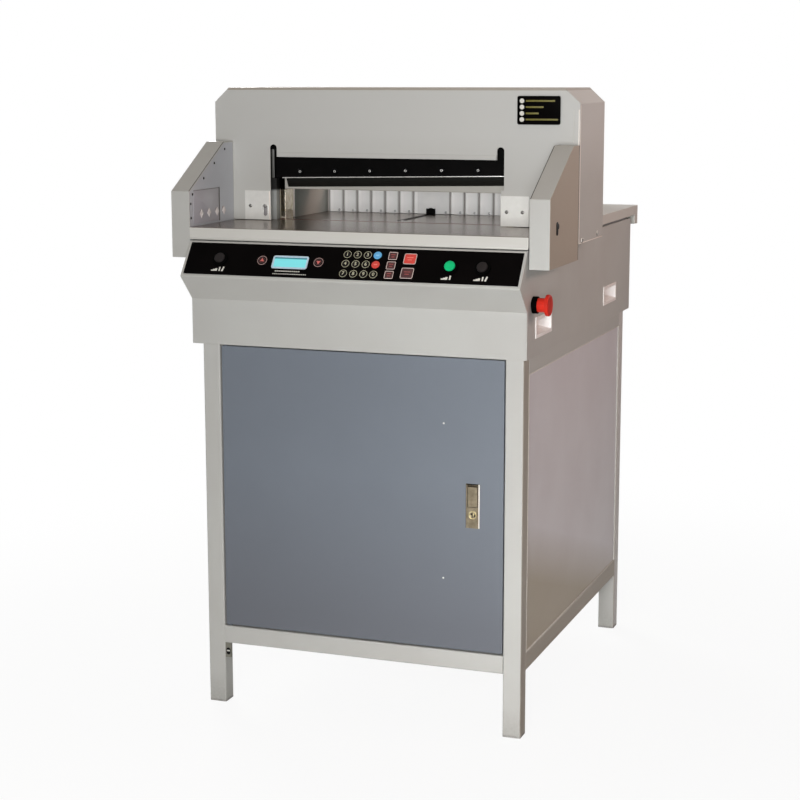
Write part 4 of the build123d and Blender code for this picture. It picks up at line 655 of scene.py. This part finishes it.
def build_keypad():
    """Round digit keys with printed rings, two full coloured keys and five square keys."""
    keys = [(across, -down) for down in key_rows for across in key_columns]
    coloured = (keys[3], keys[7])
    plain = [key for key in keys if key not in coloured]
    first = plain[0]
    shifts = [(x - first[0], y - first[1]) for x, y in plain[1:]]
    rings = copies(ring(*first, 7.5, 0.65, 0.25, 0.08, film_top), shifts)
    lay(rings, on_slope, "key_rings", inks["cream"])
    domes = copies(dome(*first, 6.4, 0.7, film_top), shifts)
    lay(domes, on_slope, "key_domes", dark_abs_and_shade)
    digits = [digit(sign, *key, 9.5, 0.25, film_top + 0.55) for sign, key in zip("1234567890", plain)]
    lay(digits, on_slope, "key_digits", inks["cream"])
    for key, ink, name in zip(coloured, ("sky_blue", "bright_red"), ("blue_key", "red_key")):
        lay([dome(*key, 7.8, 0.9, film_top)], on_slope, name, inks[ink])

    # Square keys: three small ones, and a large lit one over a large dark one
    small_x, small_rows = 82, (-20, -40, -59.5)
    large_x, lit_row, dark_row = 115.8, -25, -54.7
    small_steps = [(0, row - small_rows[0]) for row in small_rows[1:]]
    frames = copies(plate(small_x, small_rows[0], 16.8, 16.0, 2.0, 0.4, 0.12, line=1.0, base=film_top),
                    small_steps)
    frames += copies(plate(large_x, lit_row, 23.8, 22.0, 3.0, 0.4, 0.12, line=1.1, base=film_top),
                     [(0, dark_row - lit_row)])
    lay(frames, on_slope, "square_key_frames", inks["pink"])
    caps = copies(plate(small_x, small_rows[0], 14.5, 13.5, 1.0, 0.6, 0.25, base=film_top), small_steps)
    caps.append(plate(large_x, dark_row, 21.0, 19.2, 2.0, 0.7, 0.25, base=film_top))
    lay(caps, on_slope, "square_keys", inks["dark_red"])
    lit = plate(large_x, lit_row, 21.0, 19.2, 2.0, 0.7, 0.25, base=film_top)
    lay([lit], on_slope, "lit_square_key", inks["bright_red"])
    # Two plain bars on each square key: place, width and the key's height
    dark_keys = [(small_x, row, 8, 0.6) for row in small_rows] + [(large_x, dark_row, 12, 0.7)]
    for name, ink, places in (("square_key_bars", "dim_red", dark_keys),
                              ("lit_key_bars", "light_red", [(large_x, lit_row, 12, 0.7)])):
        bars = [plate(x, y + step, width * share, 1.6, 0.5, 0.12, 0.04, base=film_top + height)
                for x, y, width, height in places for step, share in ((2.4, 1.0), (-2.4, 0.7))]
        lay(bars, on_slope, name, inks[ink])
    # A short bar on each coloured round key
    for key, ink, name in zip(coloured, ("light_sky", "light_red"), ("blue_key_bar", "red_key_bar")):
        bar = plate(*key, 7, 2.2, 0.8, 0.12, 0.04, base=film_top + 0.85)
        lay([bar], on_slope, name, inks[ink])


def build_arrow_keys():
    """The two arrow keys beside the display: dark domes with a pale ring and a solid red arrow."""
    left, right, y = -172.3, -59.6, -39
    other = [(right - left, 0)]
    rings = copies(ring(left, y, 9.4, 0.8, 0.3, 0.1, film_top), other)
    lay(rings, on_slope, "arrow_key_rings", inks["rosy"])
    domes = copies(dome(left, y, 8.0, 0.8, film_top), other)
    lay(domes, on_slope, "arrow_key_domes", dark_abs_and_shade)
    fields = copies(ring(left, y, 6.2, 0, 0.2, 0.05, film_top + 0.5), other)
    lay(fields, on_slope, "arrow_key_fields", inks["dark_red"])
    pair = copies(ring(0, 0, 4.8, 0, 0.25, 0.05, film_top + 0.75, count=3), [(0, 0)])
    for arrow, x, turn in zip(pair, (left, right), (0, 180)):
        set_down(arrow, moved(x, y) @ turned(turn, "Z"))
    lay(pair, on_slope, "arrow_key_signs", inks["rose"])


def build_display_frame():
    """The pale printed line round the display, and two rows of short dashes below it."""
    x, y = -115.6, -41.3
    outer = plate(x, y, 71, 27.4, 4.5, 0.45, 0.12, line=1.5, base=film_top)
    inner = plate(x, y, 67.2, 23.6, 2.6, 0.4, 0.1, line=1.6, base=film_top)
    lay([outer, inner], on_slope, "display_frame", inks["pale_blue"])
    field = plate(x, y, 68.4, 24.8, 3.2, 0.2, 0.05, line=2.2, base=film_top)
    lay([field], on_slope, "display_frame_field", inks["sky_blue"])
    dashes, gap = [], 1.2
    for row, tall, width, left, count in ((-60.2, 2.2, 3.0, -140.0, 12), (-66.2, 1.6, 2.4, -144.0, 19)):
        first = plate(left, row, width, tall, 0.3, 0.15, 0.05, base=film_top)
        dashes += copies(first, [(step * (width + gap), 0) for step in range(1, count)])
    lay(dashes, on_slope, "display_dashes", inks["white"])


def build_pictograms():
    """Plain printed bars below each push button: a stepped stack, an upright bar and a slanted bar."""
    marks = []
    for x, slanted in ((-257.5, True), (194.7, False), (255.5, True)):
        for step, tall in enumerate((2.4, 4.0, 5.6)):
            marks.append(plate(x - 11 + step * 4.0, -65.0 + tall / 2, 4.2, tall, 0.3, 0.2, 0.06,
                               base=film_top))
        marks.append(plate(x + 3.6, -60.6, 3.0, 8.6, 0.4, 0.2, 0.06, base=film_top))
        if slanted:
            bar = plate(0, 0, 3.2, 10.0, 0.4, 0.2, 0.06, base=film_top)
            set_down(bar, moved(x + 10.2, -60.4) @ turned(-14, "Z"))
            marks.append(bar)
    lay(marks, on_slope, "button_pictograms", inks["white"])


def build_hood_label():
    """The small black plate on the hood, with four discs and four plain bars."""
    place = upright(-hood_face)
    wall = 0.5
    lay([plate(292.5, 1156.3, 83, 52.6, 3.5, wall, 0.2)], place, "hood_label", panel_film)
    rows = (1173.5, 1162.2, 1150.6, 1139.4)
    discs = copies(ring(260, rows[0], 4.4, 0, 0.15, 0.05, wall, count=28),
                   [(0, z - rows[0]) for z in rows[1:]])
    lay(discs, place, "hood_label_discs", inks["white"])
    bars = [plate(267.5 + length / 2, z, length, 3.2, 0.6, 0.15, 0.05, base=wall)
            for z, length in zip(rows, (56.0, 34.0, 25.0, 62.0))]
    lay(bars, place, "hood_label_bars", inks["olive"])


def build_curtain_plates():
    """The light curtain's cover plate inside each guard, and a raised diamond at each lens."""
    facet = disc(0, 0, 8.6, 1.0, 4)
    bpy.ops.mesh.extrude_region_move(TRANSFORM_OT_translate={"value": (0, 0, 0.5 * mm)})
    bpy.ops.mesh.inset(thickness=3.0 * mm)
    bpy.ops.transform.translate(value=(0, 0, 0.9 * mm))
    closed(facet)
    for side, name in sides:
        place = upright(x=side * guard_face, facing=-90 * side)
        diamonds = copies(facet, [(-side * y, 960.5) for y in lens_places])[1:]
        lay(diamonds, place, name + "_curtain_facets", pearl_plastic)
        middle = side * 333.0
        lay([plate(middle, 974.0, 110, 62, 1.0, 0.6, 0.2)], place,
            name + "_curtain_cover", curtain_coat)
        lay([dome(side * 399, 982, 2.5, 0.8, count=16)], place,
            name + "_guard_plug", dark_abs_and_shade)
        lay([plate(side * 276.5, 974.5, 3.4, 65, 0.4, 1.0, 0.3)], place,
            name + "_curtain_cover_seal", dark_seam_and_shadow)
        lay([plate(middle, 1005.8, 110, 1.6, 0.3, 0.9, 0.3)], place,
            name + "_curtain_cover_joint", pale_seam_and_shade)
    bpy.data.objects.remove(facet)


def build_guard_details():
    """The black latch on each guard's outer face, and a painted shadow line along the seam of its inner
    plate and its shell.
    """
    # The outline of the guard's top, in Y and Z: along the flat, then down the slope
    outline = ((-209.0, 1093.0), (-250.0, 1093.0), (-404.4, 1005.9))
    for side, name in sides:
        latch = plate(side * -358, 951, 13, 24, 4.5, 0.6, 0.25)
        knob = dome(side * -349, 954.5, 5.0, 0.7)
        lay([latch, knob], upright(x=side * half_head, facing=90 * side),
            name + "_guard_latch", dark_abs_and_shade)
        strips = []
        for (y0, z0), (y1, z1) in zip(outline, outline[1:]):
            strip = plate(0, 0, 1.5, math.hypot(y1 - y0, z1 - z0), 0.2, 0.3, 0.1, base=-0.05)
            lean = math.atan2(z1 - z0, y1 - y0) + math.pi
            set_down(strip, moved(side * 333.9, (y0 + y1) / 2, (z0 + z1) / 2)
                     @ Matrix.Rotation(lean, 4, "X"))
            strips.append(strip)
        lay(strips, None, name + "_guard_shadow_line", dark_seam_and_shadow)


def build_cheek_embossing():
    """A pressed upright oval on the left of the two small cover plates beside the mouth, with a painted
    highlight on its rim and painted shade in its field, and a painted highlight along the plate's edge.
    """
    place = upright(-head_face - 1.5)
    x, z = -264.6, 958.5
    lay([plate(x, z, 12.5, 26, 6.1, 0.7, 0.3, line=2.0)], place,
        "left_plate_oval_rim_highlight", bright_steel_and_glints)
    lay([plate(x, z, 8.2, 21.6, 4.0, 0.15, 0.05)], place,
        "left_plate_oval_shade", pale_seam_and_shade)
    lay([plate(-255.4, 968.5, 3.2, 55, 0.8, 0.4, 0.15)], place,
        "left_plate_edge_highlight", warm_highlight_coat)


def build_hood_edges():
    """Painted highlights: two by the hood's right corner and those along the side sheets' edges, and a
    painted shadow line in each side sheet's gap.
    """
    lay([plate(359.6, 1127.0, 1.6, 60, 0.3, 0.12, 0.05)], upright(-hood_face),
        "hood_crease_highlight", pale_highlight_coat)
    lay([plate(369.4, 1079.0, 1.9, 158, 0.3, 0.12, 0.05)], upright(-hood_face),
        "hood_corner_highlight", warm_highlight_coat)
    for side, name in sides:
        place = upright(x=side * half_head, facing=90 * side)
        front = plate(side * -203.6, 1039.0, 4.4, 256, 0.3, 0.25, 0.1)
        low = plate(side * -115.5, 911.2, 181, 1.8, 0.3, 0.25, 0.1)
        lay([front, low], place, name + "_side_sheet_highlights", warm_highlight_coat)
        gap = plate(side * -209.8, 987.0, 2.4, 210, 0.3, 0.2, 0.08)
        lay([gap], place, name + "_side_sheet_shadow_line", dark_seam_and_shadow)


def build_guide_edge():
    """A painted highlight on the front edge of the left side guide, and the grey knife guide behind the
    slot above it.
    """
    lay([plate(-122.4, 968.6, 8.4, 57, 0.8, 0.3, 0.1)], upright(x=-241.0, facing=90),
        "left_guide_edge_highlight", warm_highlight_coat)
    lay([plate(-249.3, 1050.0, 5.6, 56, 1.5, 0.8, 0.3)], upright(-203.6),
        "knife_slot_guide", dull_steel)


def build_slot_shade():
    """Two flat black strips along the gauge's slot in the table, under the comb's foot, as painted
    shade in the slot.
    """
    dark_strips = copies(plate(-13.4, -51.5, 4.4, 170, 1.0, 0.25, 0.1), [(12.8, 0)])
    lay(dark_strips, moved(z=table_top), "gauge_slot_shade_strips", dark_abs_and_shade)


def build_skirt_screw_light():
    """A painted highlight on each of the two screws at the foot of each side sheet, each over a painted
    shade.
    """
    layers = ((4.8, -0.7, 0.3, "_skirt_screw_shade", dark_abs_and_shade),
              (4.3, 0.6, 0.55, "_skirt_screw_highlights", warm_highlight_coat))
    for side, name in sides:
        for radius, lift, wall, label, material in layers:
            washers = copies(ring(side * -181.0, 915.5 + lift, radius, 0, wall, 0.1, count=24),
                             [(side * 116.0, 4.5)])
            lay(washers, upright(x=side * half_head, facing=90 * side),
                name + label, material)


def build_mouth_details():
    """A painted highlight on the knife carrier's lower edge, painted glints on its bolts, and the
    backgauge's foot screws.
    """
    strip = plate(0, 0, 474, 1.5, 0.3, 0.3, 0.1)
    lay([strip], moved(5.5, -200.0, 1028.0) @ turned(-knife_lean, "Y") @ turned(90, "X"),
        "knife_carrier_highlight", bright_steel_and_glints, "knife")
    # Painted glints round the bolts' sockets, which climb with the raised knife
    pitch, climb = 73.0, math.tan(math.radians(knife_lean))
    glint_rings = copies(ring(-192.0, 1035.4, 2.3, 0.9, 0.35, 0.1, count=20),
                  [(pitch * step, pitch * step * climb) for step in range(1, 6)])
    lay(glint_rings, upright(-204.0), "knife_bolt_glints", bright_steel_and_glints, "knife")
    heads = copies(dome(-210, 943.6, 2.6, 1.0, count=20),
                   [(x, 0) for x in (31, 62, 93, 124, 155, 235, 266, 297, 328, 359, 390)])
    lay(heads, upright(45.0), "backgauge_foot_screws", zinc_steel, "backgauge")


def build_table_packing():
    """The pale packing strip under the table's front lip, with a thin dark joint above the body."""
    lay([plate(0, 918.4, 663, 4.2, 0.4, 1.9, 0.3)], upright(-406.2),
        "table_packing_strip", lip_coat)


def build_tab_screw():
    """The dark hole and bright screw in the small tab under the front rail."""
    wall = 0.5
    lay([plate(-279.0, 104.5, 8.6, 14.0, 4.2, wall, 0.1)], upright(-door_face),
        "tab_hole_shade", dark_abs_and_shade)
    lay([plate(-279.0, 105.5, 6.4, 2.6, 1.1, wall, 0.2, base=wall)], upright(-door_face),
        "tab_screw", bright_steel_and_glints)


def build_door_dots():
    """Two small bright rivets in the cabinet door, which swing with it."""
    rivets = copies(dome(167, 590, 1.9, 0.8, count=16), [(0, -294)])
    lay(rivets, upright(-door_face), "door_rivets", bright_steel_and_glints, "door")


def build_lock_details():
    """The lock case's painted highlight on its right edge and its dark upper and left edges, and
    painted glints and painted shade at the key cylinder's rim.
    """
    place = upright(-door_face - 1.0)
    for name, material, x, z, width, height in (
        ("lock_edge_highlight", warm_highlight_coat, 236.4, 438.0, 2.2, 83.0),
        ("lock_upper_joint", dark_abs_and_shade, 222.6, 478.9, 23.0, 2.0),
        ("lock_left_joint", dark_seam_and_shadow, 211.1, 437.0, 1.2, 81.0),
    ):
        lay([plate(x, z, width, height, 0.3, 0.25, 0.1)], place, name, material, "door")
    gilt = [ring(224.0, 421.0, 7.6, 1.5, 0.35, 0.15), plate(225.6, 422.0, 1.8, 5.4, 0.8, 0.4, 0.15),
            plate(219.6, 418.6, 2.4, 3.4, 0.9, 0.4, 0.15)]
    lay(gilt, place, "key_cylinder_glints", brass_glints, "lock_cylinder")
    dark = [plate(221.6, 423.0, 2.6, 3.6, 1.0, 0.3, 0.1), plate(228.4, 419.8, 2.0, 4.4, 0.9, 0.3, 0.1)]
    lay(dark, place, "key_cylinder_shade", dark_abs_and_shade, "lock_cylinder")


def build_rear_details():
    """Cross-head screws on the three rear sheets, and two position marks beside the mains rocker."""
    for name, face, rows in (
        ("hood_rear", -22.0, ((357, 925), (357, 1060), (325, 1182), (110, 1182))),
        ("body_rear", 391.0, ((317, 733), (317, 882), (105, 733))),
        ("stand_rear", 382.0, ((304, 172), (304, 420), (304, 668), (0, 172), (0, 668))),
    ):
        # Each row has a screw on either side, or one in the middle
        places = [(side * x, z) for x, z in rows for side in (-1, 1) if x or side > 0]
        x, z = places[0]
        steps = [(x - across, up - z) for across, up in places[1:]]
        heads = copies(dome(-x, z, 4.0, 1.3, count=20), steps)
        lay(heads, upright(face, facing=180), name + "_screws", zinc_steel)
        cross = joined([plate(-x, z, width, height, 0.2, 0.5, 0.1, base=1.1)
                        for width, height in ((3.6, 0.9), (0.9, 3.6))])
        lay(copies(cross, steps), upright(face, facing=180),
            name + "_screw_recesses", dark_abs_and_shade)
    marks = [plate(197, 781, 0.9, 4.6, 0.3, 0.15, 0.05), ring(197, 769, 2.3, 0.8, 0.15, 0.05, count=24)]
    lay(marks, upright(393.0, facing=180), "mains_switch_marks", inks["white"])


def build_beads():
    """Thin beads of sealant with rounded ends where the side panels of the stand meet the tubes."""
    low, high, reach = 157.0, 683.0, 350.0
    uprights, rails = [(318.6, -349.0, (low + high) / 2)], [(317.2, 0, low), (317.2, 0, high)]
    made = []
    for length, turn, places in ((high - low, 0, uprights), (2 * reach, 90, rails)):
        bpy.ops.object.select_all(action="DESELECT")
        bpy.ops.mesh.primitive_cylinder_add(vertices=12, radius=1.6 * mm, depth=length * mm,
                                            location=(0, 0, 0))
        bead = bpy.context.object
        soften(bead, 0.9, 3, 60, 50)
        set_down(bead, turned(turn, "X"))
        made += copies(bead, [(side * x, y, z) for side in (-1, 1) for x, y, z in places])[1:]
        bpy.data.objects.remove(bead)
    lay(made, None, "stand_sealant_beads", white_sealant)


for build in (build_keypad, build_arrow_keys, build_display_frame, build_pictograms, build_hood_label,
              build_curtain_plates, build_guard_details, build_cheek_embossing, build_hood_edges,
              build_guide_edge, build_slot_shade, build_skirt_screw_light, build_mouth_details,
              build_table_packing, build_tab_screw, build_door_dots, build_lock_details,
              build_rear_details, build_beads):
    build()


def build_floor():
    """A pale floor that goes over into the white background without an edge."""
    bpy.ops.object.select_all(action="DESELECT")
    bpy.ops.mesh.primitive_circle_add(vertices=96, radius=30.0, fill_type="NGON", location=(0, 0, 0))
    floor = bpy.context.object
    floor.name = "studio_floor"
    material, tree, shader, place = start_material("pale_floor", Roughness=0.9)
    feed(shader, {"Base Color": paint("#F4F4F3")})
    far = add(tree, "VectorMath", {0: place}, operation="LENGTH")
    share = add(tree, "MapRange", {"Value": far, "From Min": 0.55, "From Max": 1.9, "To Min": 0.92},
                interpolation_type="SMOOTHSTEP")
    rays = add(tree, "LightPath")
    seen = add(tree, "Math", {0: rays.outputs["Is Camera Ray"], 1: share}, operation="MULTIPLY")
    white = add(tree, "Emission", {"Color": paint("#FFFFFF"), "Strength": 1.0})
    mixed = add(tree, "MixShader", {0: seen, 1: shader, 2: white})
    feed(tree.nodes["Material Output"], {"Surface": mixed})
    floor.data.materials.append(material)


def build_backdrop():
    """A world that looks white, directly and in metal and glass, and lights the object only faintly."""
    world = bpy.data.worlds.new("studio_white")
    bpy.context.scene.world = world
    world.use_nodes = True
    tree = world.node_tree
    shown = tree.nodes["Background"]
    feed(shown, {"Color": paint("#FFFFFF"), "Strength": 1.0})
    ambient = add(tree, "Background", {"Color": paint("#F2EFEB"), "Strength": 0.03})
    rays = add(tree, "LightPath").outputs
    direct = add(tree, "Math", {0: rays["Is Camera Ray"], 1: rays["Is Glossy Ray"]},
                 operation="MAXIMUM")
    direct = add(tree, "Math", {0: direct, 1: rays["Is Transmission Ray"]}, operation="MAXIMUM")
    mixed = add(tree, "MixShader", {0: direct, 1: ambient, 2: shown})
    feed(tree.nodes["World Output"], {"Surface": mixed})


def build_lamps():
    """Soft lights, in metres, watts and degrees of spread."""
    for name, place, target, size, power, colour, spread in (
        ("front_softbox", (0.85, -3.1, 1.05), (0.35, -0.3, 0.9), (1.0, 0.8), 28.5, "#FFFFFF", 130.0),
        ("low_gridded_softbox", (0.6, -3.2, 0.35), (0.6, -0.3, 0.05), (0.8, 0.8), 2.2, "#FFFFFF", 40.0),
        ("right_gridded_softbox", (3.0, 0.8, 2.1), (0.3, 0.0, 1.15), (0.9, 0.9), 2.5, "#FFD6C8", 45.0),
        ("top_softbox", (0.3, -0.8, 3.2), (0.0, 0.0, 1.0), (1.8, 1.8), 9.5, "#FFE9CE", 180.0),
        ("rear_softbox", (-2.4, 2.6, 1.7), (0.0, 0.2, 0.7), (1.6, 1.6), 90.0, "#FFFFFF", 180.0),
    ):
        lamp = bpy.data.lights.new(name, "AREA")
        lamp.shape = "RECTANGLE"
        lamp.size, lamp.size_y = size
        lamp.energy = power
        lamp.spread = math.radians(spread)
        lamp.color = paint(colour)[:3]
        holder = bpy.data.objects.new(name, lamp)
        bpy.context.collection.objects.link(holder)
        aim = Vector(target) - Vector(place)
        turn = aim.to_track_quat("-Z", "Y").to_matrix().to_4x4()
        holder.matrix_world = Matrix.Translation(place) @ turn


def build_camera():
    """The camera at the photograph's place, found from the object's straight edges."""
    bearing, dip, roll = 20.15, 10.12, -0.07
    lens = bpy.data.cameras.new("camera")
    lens.lens = 82.18
    camera = bpy.data.objects.new("camera", lens)
    bpy.context.collection.objects.link(camera)
    camera.matrix_world = (moved(1228.5, -3509.3, 1222.7) @ turned(bearing, "Z")
                           @ turned(90 - dip, "X") @ turned(roll, "Z"))
    bpy.context.scene.camera = camera


bpy.context.scene.view_settings.view_transform = "Standard"
build_floor()
build_backdrop()
build_lamps()
build_camera()

bpy.context.view_layer.update()
